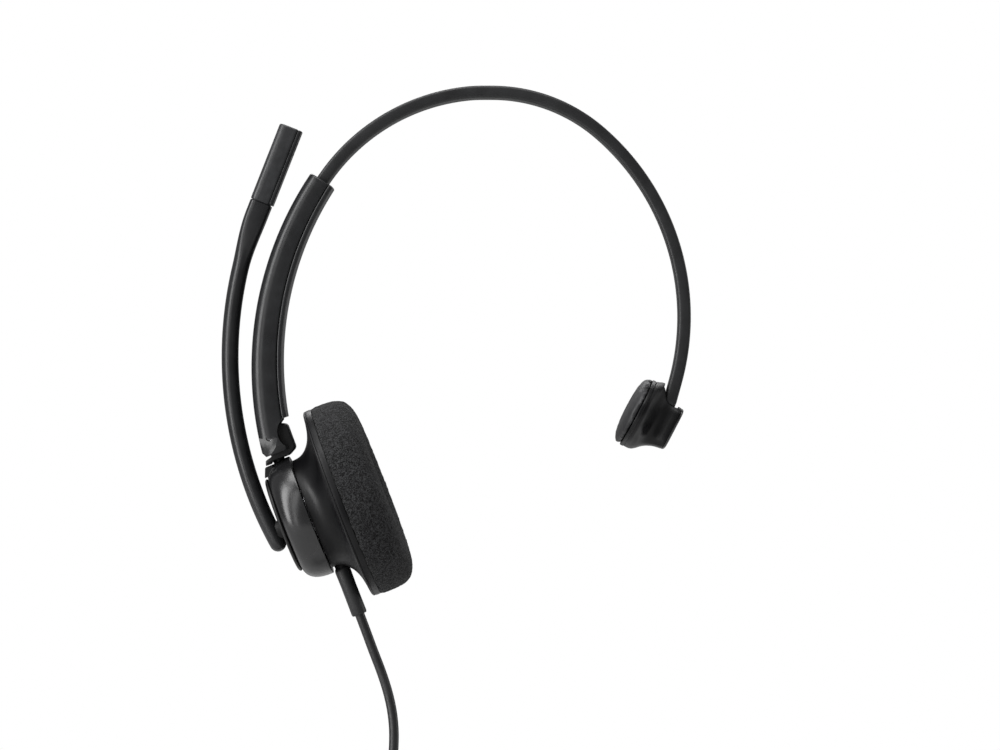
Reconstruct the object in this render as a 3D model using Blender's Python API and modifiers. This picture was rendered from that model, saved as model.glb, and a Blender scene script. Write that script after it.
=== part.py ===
"""Single-sided office headset: headband, temple pad, sliding arm, tilting and swivelling ear cup,
boom microphone, and a cord wound into a tied coil.

Lengths are in millimetres and are scaled by MM where geometry is made. The origin is the middle of
the headband's underside at the crown. +Z is up, +X points to the temple pad, and the headband lies
in the XZ plane. Piece frames have local X down the ear cup and local Z towards the head.
"""

import math

import bmesh
import bpy
from mathutils import Matrix, Vector

MM = 0.001
GAP = 0.3  # clearance between neighbouring pieces
ROUND = 32  # sides of a large turned piece
SMALL_ROUND = 16  # sides of a pin, screw or clip
ARC_STEP = 5.0  # degrees between the points of an arc

# Headband: a strap bent along tangent arcs, listed from the crown outwards as (radius, sweep).
BAND_THICKNESS = 3.7
BAND_HALF_DEPTH = 6.0
CROWN_FLAT = 3.0
TEMPLE_SIDE_ARCS = ((49.5, 40.8), (72.9, 64.6))
ARM_SIDE_ARCS = ((42.2, 6.0), (59.3, 49.9))
SLIDE_RADIUS = 98.9
HIDDEN_SWEEP = 34.8
TEMPLE_TAIL = 7.9
STRIP_THICKNESS = 0.6
STRIP_HALF_DEPTH = 4.0
SLIDER_SWEEP = 3.2
TEMPLE_PIN_REACH = 10.5
PIN_RADIUS = 0.8
PIN_HOLE_RADIUS = 1.1
BARREL_RADIUS = 2.0

# Sliding arm: a curved shell around the hidden end of the headband.
ARM_CENTRE = (33.7, -78.6)
ARM_INNER_RADIUS = 94.95
ARM_OUTER_RADIUS_TOP = 103.05
ARM_OUTER_RADIUS_END = 104.65
ARM_TOP_ANGLE = 33.1
ARM_END_ANGLE = -15.3
ARM_FOOT_X = -20.9
ARM_HALF_DEPTH = 8.5
COVER_THICKNESS = 1.45
COVER_END_ANGLE = -10.3
CHEEK_INSIDE = 5.35
CHANNEL_OUTER = SLIDE_RADIUS + BAND_THICKNESS / 2 + GAP
COVER_SCREW_ANGLE = 9.5
COVER_SCREW_TURN = -90.0 - COVER_SCREW_ANGLE
NOTCH_CENTRE = (-57.45, -99.6)
NOTCH_RADIUS = 5.1

# Ear cup, drawn from the centre of the drum's outer end.
CUP_CENTRE = (-60.9, -127.8)
CUP_TILT = 69.0
SWIVEL_Z = 5.6
TILT_PIN_X = -26.0
DRUM_RADIUS = 18.6
DRUM_WALL = 1.5
DRUM_END = 8.9
NECK_RADIUS = 17.1
PLATE_RADIUS = 29.2
PLATE_FRONT = 18.0
CUSHION_RADIUS = 29.6
CUSHION_FRONT = 32.5
STEM_RADIUS = 1.8

# Boom microphone.
BOOM_ARC_CENTRE = (-11.4, 111.2)
BOOM_ARC_RADIUS = 115.9
BOOM_LOW_ANGLE = 9.1
BOOM_HIGH_ANGLE = -42.5
BOOM_RADIUS = 2.55
BOOM_DEPTH_RATIO = 1.3
MIC_LENGTH = 28.2
NECK_LENGTH = 3.9
MIC_HALF_DEPTH = 4.5

# Temple pad, drawn from the middle of its plate.
TEMPLE_TILT = -62.5
TEMPLE_PIN = (2.7, -8.1)
TEMPLE_HALF_DEPTH = 7.6
TEMPLE_PLATE_CENTRE_X = -0.6
TEMPLE_PLATE_HALF_HEIGHT = 10.9
TEMPLE_PLATE_HALF_DEPTH = 17.0

# Cord: 3 mm, hanging from the ear cup, with its spare length wound into a tied ring.
CORD_RADIUS = 1.5
CORD_EXIT = (32.2, 11.6)
CORD_ROUTE = (
    (-38.53, 0.0, -153.7),
    (-36.35, 0.0, -159.5),
    (-34.1, 0.0, -165.6),
    (-31.9, -0.1, -171.3),
    (-30.0, -0.5, -177.0),
    (-28.6, -1.3, -182.8),
    (-27.9, -2.5, -188.6),
    (-27.9, -3.7, -194.2),
    (-28.3, -4.5, -199.0),
    (-28.8, -4.65, -203.4),
)
COIL_CENTRE = (-28.0, -228.4)
COIL_MID_RADIUS = 17.0
COIL_LAYERS = 4
COIL_PITCH = 3.1
TIE_TURN = 15.0
TAIL_ROUTE = (
    (-38.1, -8.0, -221.3),
    (-39.6, -9.9, -224.3),
    (-40.2, -11.2, -227.6),
    (-40.3, -11.5, -231.0),
    (-40.3, -11.5, -233.2),
)
PLUG_TOP = (-40.3, -11.5, -233.5)
PLUG_LENGTH = 20.0
PLUG_HALF_WIDTH = 7.8
PLUG_HALF_THICKNESS = 3.9
SHELL_LENGTH = 11.5


# ---- scene, materials and basic shapes ----


def clear_scene():
    for obj in list(bpy.data.objects):
        bpy.data.objects.remove(obj, do_unlink=True)


def new_collection(name):
    collection = bpy.data.collections.new(name)
    bpy.context.scene.collection.children.link(collection)
    return collection


def make_material(name, color, roughness, metallic=0.0):
    material = bpy.data.materials.new(name)
    material.use_nodes = True
    shader = material.node_tree.nodes["Principled BSDF"]
    shader.inputs["Base Color"].default_value = (*color, 1.0)
    shader.inputs["Roughness"].default_value = roughness
    shader.inputs["Metallic"].default_value = metallic
    return material


def make_materials():
    return {
        "band": make_material("band_plastic", (0.035, 0.036, 0.038), 0.45),
        "satin": make_material("satin_plastic", (0.022, 0.023, 0.025), 0.38),
        "gloss": make_material("gloss_plastic", (0.010, 0.010, 0.011), 0.16),
        "foam": make_material("cushion_foam", (0.030, 0.031, 0.033), 0.95),
        "soft": make_material("pad_rubber", (0.020, 0.020, 0.022), 0.6),
        "cord": make_material("cord_jacket", (0.018, 0.018, 0.019), 0.5),
        "steel": make_material("spring_steel", (0.55, 0.55, 0.56), 0.3, 1.0),
        "plated": make_material("plug_metal", (0.70, 0.70, 0.72), 0.22, 1.0),
        "board": make_material("board_green", (0.02, 0.16, 0.07), 0.5),
        "film": make_material("diaphragm_film", (0.10, 0.10, 0.11), 0.4),
        "tie": make_material("tie_strap", (0.025, 0.025, 0.027), 0.8),
    }


def frame_at(name, location, tilt=0.0, parent=None):
    """An empty at a joint's axis, turned about Y, that pieces are parented to."""
    empty = bpy.data.objects.new(name, None)
    bpy.context.scene.collection.objects.link(empty)
    empty.parent = parent
    empty.location = Vector(location) * MM
    empty.rotation_euler = (0.0, math.radians(tilt), 0.0)
    return empty


def as_cutter(obj):
    """Moves a piece to the cutters, which are not part of the object."""
    for collection in list(obj.users_collection):
        collection.objects.unlink(obj)
    CUTTERS.objects.link(obj)
    obj.hide_render = True
    obj.display_type = "WIRE"
    return obj


def add_piece(name, mesh, material, parent=None, location=(0, 0, 0), rotation=(0, 0, 0)):
    obj = bpy.data.objects.new(name, mesh)
    PARTS.objects.link(obj)
    obj.parent = parent
    obj.location = Vector(location) * MM
    obj.rotation_euler = [math.radians(angle) for angle in rotation]
    if material:
        mesh.materials.clear()
        mesh.materials.append(MATERIALS[material])
    return obj


def smooth(mesh, angle=35.0):
    mesh.shade_smooth()
    mesh.set_sharp_from_angle(angle=math.radians(angle))


def weld(mesh):
    edit = bmesh.new()
    edit.from_mesh(mesh)
    bmesh.ops.remove_doubles(edit, verts=edit.verts, dist=0.005 * MM)
    bmesh.ops.recalc_face_normals(edit, faces=edit.faces)
    edit.to_mesh(mesh)
    edit.free()


def curve_to_mesh(name, curve):
    """The closed mesh of a curve, with its loose caps welded."""
    holder = bpy.data.objects.new(name, curve)
    bpy.context.scene.collection.objects.link(holder)
    bpy.context.view_layer.update()
    graph = bpy.context.evaluated_depsgraph_get()
    mesh = bpy.data.meshes.new_from_object(holder.evaluated_get(graph))
    bpy.data.objects.remove(holder, do_unlink=True)
    weld(mesh)
    return mesh


def slab_mesh(name, outline, half_depth):
    """A flat outline of (x, z) points, given a depth of half_depth on each side of Y = 0."""
    curve = bpy.data.curves.new(name, "CURVE")
    curve.dimensions = "2D"
    curve.fill_mode = "BOTH"
    curve.extrude = half_depth * MM
    spline = curve.splines.new("POLY")
    spline.points.add(len(outline) - 1)
    for point, (x, z) in zip(spline.points, outline):
        point.co = (x * MM, z * MM, 0.0, 1.0)
    spline.use_cyclic_u = True
    mesh = curve_to_mesh(name, curve)
    mesh.transform(Matrix.Rotation(math.radians(90), 4, "X"))
    return mesh


def slab(name, outline, half_depth, material=None, parent=None, location=(0, 0, 0)):
    mesh = slab_mesh(name, outline, half_depth)
    smooth(mesh)
    return add_piece(name, mesh, material, parent, location)


def tube_mesh(name, points, radii, resolution=2):
    """A round tube along (x, y, z) points, with one radius for each point."""
    curve = bpy.data.curves.new(name, "CURVE")
    curve.dimensions = "3D"
    curve.bevel_depth = MM
    curve.bevel_resolution = resolution
    curve.use_fill_caps = True
    spline = curve.splines.new("POLY")
    spline.points.add(len(points) - 1)
    for point, place, radius in zip(spline.points, points, radii):
        point.co = (*(Vector(place) * MM), 1.0)
        point.radius = radius
    return curve_to_mesh(name, curve)


def turned(name, profile, material=None, parent=None, steps=ROUND, location=(0, 0, 0), rotation=(0, 0, 0)):
    """A turned piece about local Z. The profile of (radius, z) runs down its outer side."""
    mesh = bpy.data.meshes.new(name)
    edit = bmesh.new()
    points = [edit.verts.new((radius * MM, 0.0, z * MM)) for radius, z in profile]
    for start, end in zip(points, points[1:]):
        edit.edges.new((start, end))
    if profile[0][0] > 0 and profile[-1][0] > 0:
        edit.edges.new((points[-1], points[0]))
    edit.to_mesh(mesh)
    edit.free()
    obj = add_piece(name, mesh, material, parent, location, rotation)
    screw = obj.modifiers.new("turn", "SCREW")
    screw.axis = "Z"
    screw.steps = steps
    screw.render_steps = steps
    screw.use_merge_vertices = True
    screw.merge_threshold = 0.01 * MM
    screw.use_smooth_shade = False
    return obj


def rod(name, radius, low, high, material=None, parent=None, along="Z", centre=(0, 0, 0)):
    """A plain cylinder from low to high along a local axis."""
    mesh = bpy.data.meshes.new(name)
    edit = bmesh.new()
    bmesh.ops.create_cone(
        edit,
        cap_ends=True,
        segments=SMALL_ROUND,
        radius1=radius * MM,
        radius2=radius * MM,
        depth=(high - low) * MM,
    )
    bmesh.ops.translate(edit, verts=edit.verts, vec=(0, 0, (low + high) / 2 * MM))
    edit.to_mesh(mesh)
    edit.free()
    turns = {"Z": (0, 0, 0), "Y": (-90, 0, 0), "X": (0, 90, 0)}
    smooth(mesh)
    return add_piece(name, mesh, material, parent, centre, turns[along])


def bevel(obj, width, segments=1, angle=40.0):
    modifier = obj.modifiers.new("rounded_edges", "BEVEL")
    modifier.width = width * MM
    modifier.segments = segments
    modifier.limit_method = "ANGLE"
    modifier.angle_limit = math.radians(angle)
    return obj


def boolean(obj, tool, operation="DIFFERENCE"):
    modifier = obj.modifiers.new(operation.lower(), "BOOLEAN")
    modifier.operation = operation
    modifier.solver = "EXACT"
    modifier.object = as_cutter(tool)
    return obj


def hold_in_place(obj, parent):
    """Parents a piece drawn in the headset's own frame without moving it."""
    bpy.context.view_layer.update()
    obj.parent = parent
    obj.matrix_parent_inverse = parent.matrix_world.inverted()
    return obj


def relative(points, origin):
    return [(x - origin[0], z - origin[1]) for x, z in points]


def polar(centre, radius, angle):
    """A point of the XZ plane at an angle counted from +X towards +Z."""
    turn = math.radians(angle)
    return (centre[0] + radius * math.cos(turn), centre[1] + radius * math.sin(turn))


def arc(centre, radius, start, end, step=ARC_STEP):
    count = max(1, math.ceil(abs(end - start) / step))
    return [polar(centre, radius, start + (end - start) * i / count) for i in range(count + 1)]


# ---- headband path ----


def walk(side, arcs):
    """Stations (x, z, normal x, normal z) along tangent arcs, from the crown down one side."""
    x = side * CROWN_FLAT / 2
    z = BAND_THICKNESS / 2
    heading = 0.0
    stations = [(x, z, 0.0, 1.0)]
    for radius, sweep in arcs:
        count = math.ceil(sweep / ARC_STEP)
        half = math.radians(sweep / count / 2)
        for _ in range(count):
            heading += half
            x += side * 2 * radius * math.sin(half) * math.cos(heading)
            z -= 2 * radius * math.sin(half) * math.sin(heading)
            heading += half
            stations.append((x, z, side * math.sin(heading), math.cos(heading)))
    return stations


def past_end(station, side, distance):
    """The station carried straight on along the headband by a distance."""
    x, z, nx, nz = station
    return (x + side * nz * distance, z - side * nx * distance, nx, nz)


def ribbon(stations, low, high):
    """The outline of a strap between two offsets from its stations."""
    outer = [(x + nx * high, z + nz * high) for x, z, nx, nz in stations]
    inner = [(x + nx * low, z + nz * low) for x, z, nx, nz in stations]
    return outer + inner[::-1]


def slide_centre():
    """The centre of the arc that the arm slides along."""
    x, z, nx, nz = walk(-1, ARM_SIDE_ARCS)[-1]
    return (x - nx * SLIDE_RADIUS, z - nz * SLIDE_RADIUS)


def hidden_stations(extra_sweep=0.0):
    return walk(-1, ARM_SIDE_ARCS + ((SLIDE_RADIUS, HIDDEN_SWEEP + extra_sweep),))


def sleeve_stations(tail):
    """The whole headband, from its hidden end in the arm to its end at the temple pad."""
    temple_side = walk(1, TEMPLE_SIDE_ARCS)
    temple_side.append(past_end(temple_side[-1], 1, tail))
    return hidden_stations()[::-1] + temple_side


def temple_pin_place():
    x, z, _, _ = past_end(walk(1, TEMPLE_SIDE_ARCS)[-1], 1, TEMPLE_PIN_REACH)
    return (x, z)


# ---- headband pieces ----


def make_headband():
    half = BAND_THICKNESS / 2
    stations = sleeve_stations(TEMPLE_TAIL)
    sleeve = slab("headband_sleeve", ribbon(stations, -half, half), BAND_HALF_DEPTH, "band")
    bevel(sleeve, 0.7)
    room = STRIP_THICKNESS / 2 + GAP
    longer = [past_end(stations[0], -1, 1.0)] + stations + [past_end(stations[-1], 1, 1.0)]
    slot = slab("strip_slot", ribbon(longer, -room, room), STRIP_HALF_DEPTH + GAP)
    boolean(sleeve, slot)

    strip_stations = stations + [past_end(stations[-1], 1, 0.4)]
    outline = ribbon(strip_stations, -STRIP_THICKNESS / 2, STRIP_THICKNESS / 2)
    slab("headband_spring_strip", outline, STRIP_HALF_DEPTH, "steel")

    end = len(hidden_stations())
    slider_arcs = ((SLIDE_RADIUS, HIDDEN_SWEEP), (SLIDE_RADIUS, 0.2), (SLIDE_RADIUS, SLIDER_SWEEP))
    block_stations = walk(-1, ARM_SIDE_ARCS + slider_arcs)[end:]
    slider = slab("slider_block", ribbon(block_stations, -half, half), BAND_HALF_DEPTH, "satin")
    bevel(slider, 0.5)

    pin_x, pin_z = temple_pin_place()
    eye = rod(
        "temple_hinge_eye", BARREL_RADIUS, -4.0, 4.0, "steel", along="Y", centre=(pin_x, 0, pin_z)
    )
    bore = rod("eye_bore", PIN_HOLE_RADIUS, -5.0, 5.0, along="Y", centre=(pin_x, 0, pin_z))
    boolean(eye, bore)


# ---- sliding arm ----


def cup_point(x, z):
    """A point of the ear cup's frame in the headset's frame."""
    sine = math.sin(math.radians(CUP_TILT))
    cosine = math.cos(math.radians(CUP_TILT))
    return (CUP_CENTRE[0] + x * cosine + z * sine, CUP_CENTRE[1] - x * sine + z * cosine)


def arm_outline():
    """The whole arm from the side, with its inner cover in place."""
    top = 180.0 - ARM_TOP_ANGLE
    end = 180.0 - ARM_END_ANGLE
    steps = math.ceil((end - top) / ARC_STEP)
    outer = []
    for i in range(steps + 1):
        share = i / steps
        radius = ARM_OUTER_RADIUS_TOP + (ARM_OUTER_RADIUS_END - ARM_OUTER_RADIUS_TOP) * share
        outer.append(polar(ARM_CENTRE, radius, top + (end - top) * share))
    foot = [cup_point(ARM_FOOT_X, 2.6), cup_point(ARM_FOOT_X, 9.9)]
    inner = arc(ARM_CENTRE, ARM_INNER_RADIUS, end - 1.0, top)
    return outer + foot + inner


def cover_band(thickness, end_angle):
    """The strip along the arm's inner side that the cover takes up."""
    top = 180.0 - ARM_TOP_ANGLE - 5.0
    end = 180.0 - end_angle
    outer = arc(ARM_CENTRE, ARM_INNER_RADIUS + thickness, top, end)
    inner = arc(ARM_CENTRE, ARM_INNER_RADIUS - 6.0, end, top)
    return outer + inner


def channel_outline(centre):
    """The space that the headband slides in, open to the mouth and to the cover."""
    mouth = 180.0 - ARM_TOP_ANGLE - 8.0
    floor = 180.0 + 8.6
    outer = arc(centre, CHANNEL_OUTER, mouth, floor)
    inner = arc(centre, SLIDE_RADIUS - 8.0, floor, mouth)
    return outer + inner


def knuckle_room():
    """The space between the arm's cheeks for the tilting knuckle."""
    wall_side = arc(ARM_CENTRE, ARM_OUTER_RADIUS_END - 1.1, 180.0 + 10.2, 180.0 + 20.0, 2.5)
    head_side = arc(ARM_CENTRE, ARM_INNER_RADIUS - 8.0, 180.0 + 20.0, 180.0 + 10.2, 5.0)
    return wall_side + head_side


def cover_screw_place():
    """Just inside the cover's outer face, over the wall that ends the headband's channel."""
    return polar(ARM_CENTRE, ARM_INNER_RADIUS + 0.5, 180.0 + COVER_SCREW_ANGLE)


def make_arm(frame, centre, pin):
    outline = relative(arm_outline(), centre)
    shell = slab("arm_outer_shell", outline, ARM_HALF_DEPTH, "satin", frame)
    cover = slab("arm_inner_cover", outline, ARM_HALF_DEPTH, "satin", frame)
    bevel(shell, 1.7, 3)
    bevel(cover, 1.7, 3)
    wide = ARM_HALF_DEPTH * 2

    notch_x, notch_z = relative([NOTCH_CENTRE], centre)[0]
    notch = rod("cheek_notch", NOTCH_RADIUS, -wide, wide, None, frame, "Y", (notch_x, 0, notch_z))
    boolean(shell, notch)
    pin_x, pin_z = relative([pin], centre)[0]
    hole = rod("tilt_pin_hole", PIN_HOLE_RADIUS, -7.6, 7.6, None, frame, "Y", (pin_x, 0, pin_z))
    boolean(shell, hole)
    rod("tilt_pin", PIN_RADIUS, -7.3, 7.3, "steel", frame, "Y", (pin_x, 0, pin_z))
    screw_x, screw_z = relative([cover_screw_place()], centre)[0]
    bore = rod("screw_bore_shell", 1.0, -1.5, 5.2, None, frame, "Z", (screw_x, 0, screw_z))
    bore.rotation_euler = (0, math.radians(COVER_SCREW_TURN), 0)
    boolean(shell, bore)

    cover_space = relative(cover_band(COVER_THICKNESS, COVER_END_ANGLE), centre)
    shell_space = relative(cover_band(COVER_THICKNESS + GAP, COVER_END_ANGLE - 0.2), centre)
    boolean(cover, slab("cover_space", cover_space, wide, parent=frame), "INTERSECT")
    boolean(shell, slab("cover_recess", shell_space, wide, parent=frame))
    channel = relative(channel_outline(centre), centre)
    boolean(shell, slab("band_channel", channel, BAND_HALF_DEPTH + GAP, parent=frame))
    room = relative(knuckle_room(), centre)
    boolean(shell, slab("knuckle_room", room, CHEEK_INSIDE, parent=frame))

    bore = rod("screw_bore_cover", 1.0, -1.5, 5.2, None, frame, "Z", (screw_x, 0, screw_z))
    bore.rotation_euler = (0, math.radians(COVER_SCREW_TURN), 0)
    boolean(cover, bore)
    screw = rod("arm_cover_screw", 0.7, 0.0, 4.7, "steel", frame, "Z", (screw_x, 0, screw_z))
    screw.rotation_euler = (0, math.radians(COVER_SCREW_TURN), 0)


# ---- tilting knuckle ----


def make_knuckle(frame):
    barrel = [
        (BARREL_RADIUS * math.cos(math.radians(a)), BARREL_RADIUS * math.sin(math.radians(a)))
        for a in range(-40, -200, -25)
    ]
    outline = [(5.9, -3.6), (5.5, -1.3), (1.8, -1.2)] + barrel
    outline += [(-3.2, 1.6), (-3.4, 3.4), (-1.4, 5.9), (5.5, 5.8), (7.0, 3.6), (7.0, -3.6)]
    knuckle = slab("tilt_knuckle", outline, 5.0, "gloss", frame)
    bevel(knuckle, 0.5)
    stem = rod("knuckle_stem", STEM_RADIUS, 5.0, 12.8, None, frame, "X")
    boolean(knuckle, stem, "UNION")
    boolean(knuckle, rod("knuckle_bore", PIN_HOLE_RADIUS, -8.0, 8.0, None, frame, "Y"))
    clip = [(2.1, 11.2), (2.6, 11.2), (2.6, 10.4), (2.1, 10.4)]
    turned("swivel_clip", clip, "steel", frame, SMALL_ROUND, rotation=(0, 90, 0))


# ---- ear cup ----


def make_housing(frame):
    wall = DRUM_RADIUS - DRUM_WALL
    profile = [
        (wall, DRUM_END),
        (DRUM_RADIUS, DRUM_END),
        (DRUM_RADIUS, 4.2),
        (18.1, 2.4),
        (16.9, 1.2),
        (15.2, 0.8),
        (3.3, 0.8),
        (3.3, 2.3),
        (14.6, 2.3),
        (16.2, 3.0),
        (wall, 4.4),
    ]
    housing = turned("cup_housing", profile, "gloss", frame)
    hole = rod("stem_hole", STEM_RADIUS + GAP, -22.0, -14.0, None, frame, "X", (0, 0, SWIVEL_Z))
    boolean(housing, hole)


def make_baffle(frame):
    profile = [
        (15.6, PLATE_FRONT),
        (PLATE_RADIUS, PLATE_FRONT),
        (PLATE_RADIUS, 17.5),
        (24.2, 16.6),
        (20.2, 15.6),
        (18.0, 14.4),
        (NECK_RADIUS, 12.8),
        (NECK_RADIUS, DRUM_END + GAP),
        (15.6, DRUM_END + GAP),
    ]
    baffle = turned("speaker_baffle", profile, "gloss", frame)
    cord_x, cord_z = CORD_EXIT
    boolean(baffle, rod("cord_hole", 2.25, 13.0, 20.0, None, frame, "X", (0, 0, cord_z)))
    for i in range(3):
        angle = math.radians(120 * i + 60)
        place = (22.5 * math.cos(angle), 22.5 * math.sin(angle), 0)
        boolean(baffle, rod(f"screw_pocket_{i + 1}", 1.5, 16.7, 19.0, None, frame, "Z", place))
        rod(f"baffle_screw_{i + 1}", 1.2, 17.0, 17.9, "steel", frame, "Z", place)


def make_cushion(frame):
    ring = [(15.8, 19.8), (29.0, 19.8), (29.3, 19.5), (29.3, 18.6), (29.0, 18.3), (15.8, 18.3)]
    turned("cushion_ring", ring, "satin", frame)
    profile = [
        (0.0, 25.0),
        (9.0, 25.4),
        (13.0, 28.2),
        (16.5, 31.6),
        (20.0, CUSHION_FRONT),
        (24.2, 31.9),
        (27.2, 30.3),
        (29.1, 28.0),
        (CUSHION_RADIUS, 25.4),
        (CUSHION_RADIUS, 20.5),
        (29.2, 20.1),
        (0.0, 20.1),
    ]
    turned("ear_cushion", profile, "foam", frame)


def make_speaker(frame):
    grille = turned(
        "speaker_grille", [(0.0, 19.4), (15.4, 19.4), (15.4, 18.4), (0.0, 18.4)], "satin", frame
    )
    for i in range(6):
        angle = math.radians(60 * i)
        place = (8.5 * math.cos(angle), 8.5 * math.sin(angle), 0)
        boolean(grille, rod(f"grille_hole_{i + 1}", 2.6, 17.0, 21.0, None, frame, "Z", place))
    basket = [
        (13.9, 17.7),
        (14.9, 17.7),
        (14.9, 16.7),
        (12.6, 13.5),
        (9.4, 9.9),
        (3.2, 9.9),
        (3.2, 10.7),
        (8.9, 10.7),
        (11.9, 13.9),
        (13.9, 16.7),
    ]
    turned("speaker_basket", basket, "steel", frame)
    film = [(0.0, 17.2), (5.0, 17.0), (8.0, 16.2), (11.0, 16.7), (13.0, 16.2), (13.0, 15.8)]
    film += [(11.0, 16.3), (8.0, 15.8), (5.0, 16.6), (0.0, 16.8)]
    turned("speaker_diaphragm", film, "film", frame)
    magnet = [(0.0, 9.6), (7.7, 9.6), (8.0, 9.3), (8.0, 6.3), (7.7, 6.0), (0.0, 6.0)]
    turned("speaker_magnet", magnet, "steel", frame)
    rod("cup_circuit_board", 11.3, 4.4, 5.4, "board", frame)


def make_strain_relief(frame):
    """A tapered grommet that clips into the neck and lets the cord out."""
    cord_x, cord_z = CORD_EXIT
    profile = [
        (0.0, 14.0),
        (2.9, 14.0),
        (2.9, 14.7),
        (1.95, 14.9),
        (1.95, 17.9),
        (2.2, 18.3),
        (2.15, 24.0),
        (1.95, 31.4),
        (1.75, cord_x - GAP),
        (0.0, cord_x - GAP),
    ]
    turned(
        "strain_relief",
        profile[::-1],
        "cord",
        frame,
        SMALL_ROUND,
        (0, 0, cord_z),
        (0, 90, 0),
    )


def make_ear_cup(frame):
    make_housing(frame)
    make_baffle(frame)
    make_cushion(frame)
    make_speaker(frame)
    make_strain_relief(frame)


# ---- boom microphone ----


def boom_point(angle):
    """A point of the boom's arc, by its angle from the arc's middle."""
    turn = math.radians(angle)
    return (
        BOOM_ARC_CENTRE[0] + BOOM_ARC_RADIUS * math.sin(turn),
        BOOM_ARC_CENTRE[1] - BOOM_ARC_RADIUS * math.cos(turn),
    )


def boom_radius(share):
    """The boom is slim, with a round foot and a wider neck at the microphone."""
    foot = min(1.0, share / 0.022)
    neck = max(0.0, (share - 0.86) / 0.14)
    return BOOM_RADIUS * math.sqrt(1.0 - (1.0 - foot) ** 2 * 0.93) + 0.9 * neck**1.3


def make_boom(frame):
    hub = [
        (0.0, 3.9),
        (3.0, 3.9),
        (3.0, 0.5),
        (14.2, 0.5),
        (14.6, 0.1),
        (14.6, -0.3),
        (14.2, -0.7),
        (0.0, -0.7),
    ]
    turned("boom_hub", hub, "gloss", frame)
    washer = [(3.3, 3.0), (5.8, 3.0), (5.8, 2.6), (3.3, 2.6)]
    turned("boom_spring_washer", washer, "steel", frame, SMALL_ROUND)
    clip = [(3.3, 3.8), (4.9, 3.8), (4.9, 3.3), (3.3, 3.3)]
    turned("boom_retaining_clip", clip, "steel", frame, SMALL_ROUND)

    count = 26
    shares = [0.0, 0.006, 0.014, 0.025] + [0.05 + 0.95 * i / count for i in range(count + 1)]
    angles = [BOOM_LOW_ANGLE + (BOOM_HIGH_ANGLE - BOOM_LOW_ANGLE) * share for share in shares]
    points = [(boom_point(a)[0], 0.0, boom_point(a)[1]) for a in angles]
    radii = [boom_radius(share) for share in shares]
    tip_x, tip_z = boom_point(BOOM_HIGH_ANGLE)
    tip_turn = math.radians(-90.0 - BOOM_HIGH_ANGLE)
    neck_end = (tip_x + NECK_LENGTH * math.sin(tip_turn), 0.0, tip_z + NECK_LENGTH * math.cos(tip_turn))
    mesh = tube_mesh("boom_arm", points + [neck_end], radii + radii[-1:], 3)
    mesh.transform(Matrix.Diagonal((1.0, BOOM_DEPTH_RATIO, 1.0, 1.0)))
    smooth(mesh)
    add_piece("boom_arm", mesh, "satin", frame)

    tip = frame_at("mic_frame", (tip_x, 0, tip_z), -90.0 - BOOM_HIGH_ANGLE, frame)
    make_microphone(tip)


def make_microphone(frame):
    """The microphone's straight end: local Z runs along it and local X faces the head."""
    base = NECK_LENGTH + GAP
    seam = 2.2
    cover = slab(
        "mic_tip_cover",
        [(-3.5, base), (seam, base), (seam, MIC_LENGTH), (-3.3, MIC_LENGTH)],
        MIC_HALF_DEPTH,
        "satin",
        frame,
    )
    bevel(cover, 0.8, 2)
    low = base + 1.7
    hollow = [(-2.2, low), (6.0, low), (6.0, 26.6), (-2.2, 26.6)]
    boolean(cover, slab("mic_hollow", hollow, 3.3, parent=frame))
    grille = slab(
        "mic_tip_grille",
        [(seam + GAP, base), (3.5, base), (3.3, MIC_LENGTH), (seam + GAP, MIC_LENGTH)],
        MIC_HALF_DEPTH - 0.3,
        "satin",
        frame,
    )
    bevel(grille, 0.25)
    for i in range(3):
        slot_z = 20.3 + 1.7 * i
        slot = [(1.0, slot_z), (5.0, slot_z), (5.0, slot_z + 0.8), (1.0, slot_z + 0.8)]
        boolean(grille, slab(f"mic_slot_{i + 1}", slot, 1.6, parent=frame))
    rod("mic_capsule", 2.9, -0.4, 1.8, "steel", frame, "X", (0, 0, 22.4))


# ---- temple pad ----


def oval_dome(name, rings, material, frame):
    """An oval piece from (z, share of the full size) rings, closed at both ends."""
    mesh = bpy.data.meshes.new(name)
    edit = bmesh.new()
    loops = []
    for z, share in rings:
        loop = []
        for i in range(ROUND):
            angle = 2 * math.pi * i / ROUND
            x = TEMPLE_PLATE_CENTRE_X + TEMPLE_PLATE_HALF_HEIGHT * share * math.cos(angle)
            y = TEMPLE_PLATE_HALF_DEPTH * share * math.sin(angle)
            loop.append(edit.verts.new((x * MM, y * MM, z * MM)))
        loops.append(loop)
    for low, high in zip(loops, loops[1:]):
        for i in range(ROUND):
            j = (i + 1) % ROUND
            edit.faces.new((low[i], low[j], high[j], high[i]))
    edit.faces.new(loops[0][::-1])
    edit.faces.new(loops[-1])
    edit.to_mesh(mesh)
    edit.free()
    smooth(mesh)
    return add_piece(name, mesh, material, frame)


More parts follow.
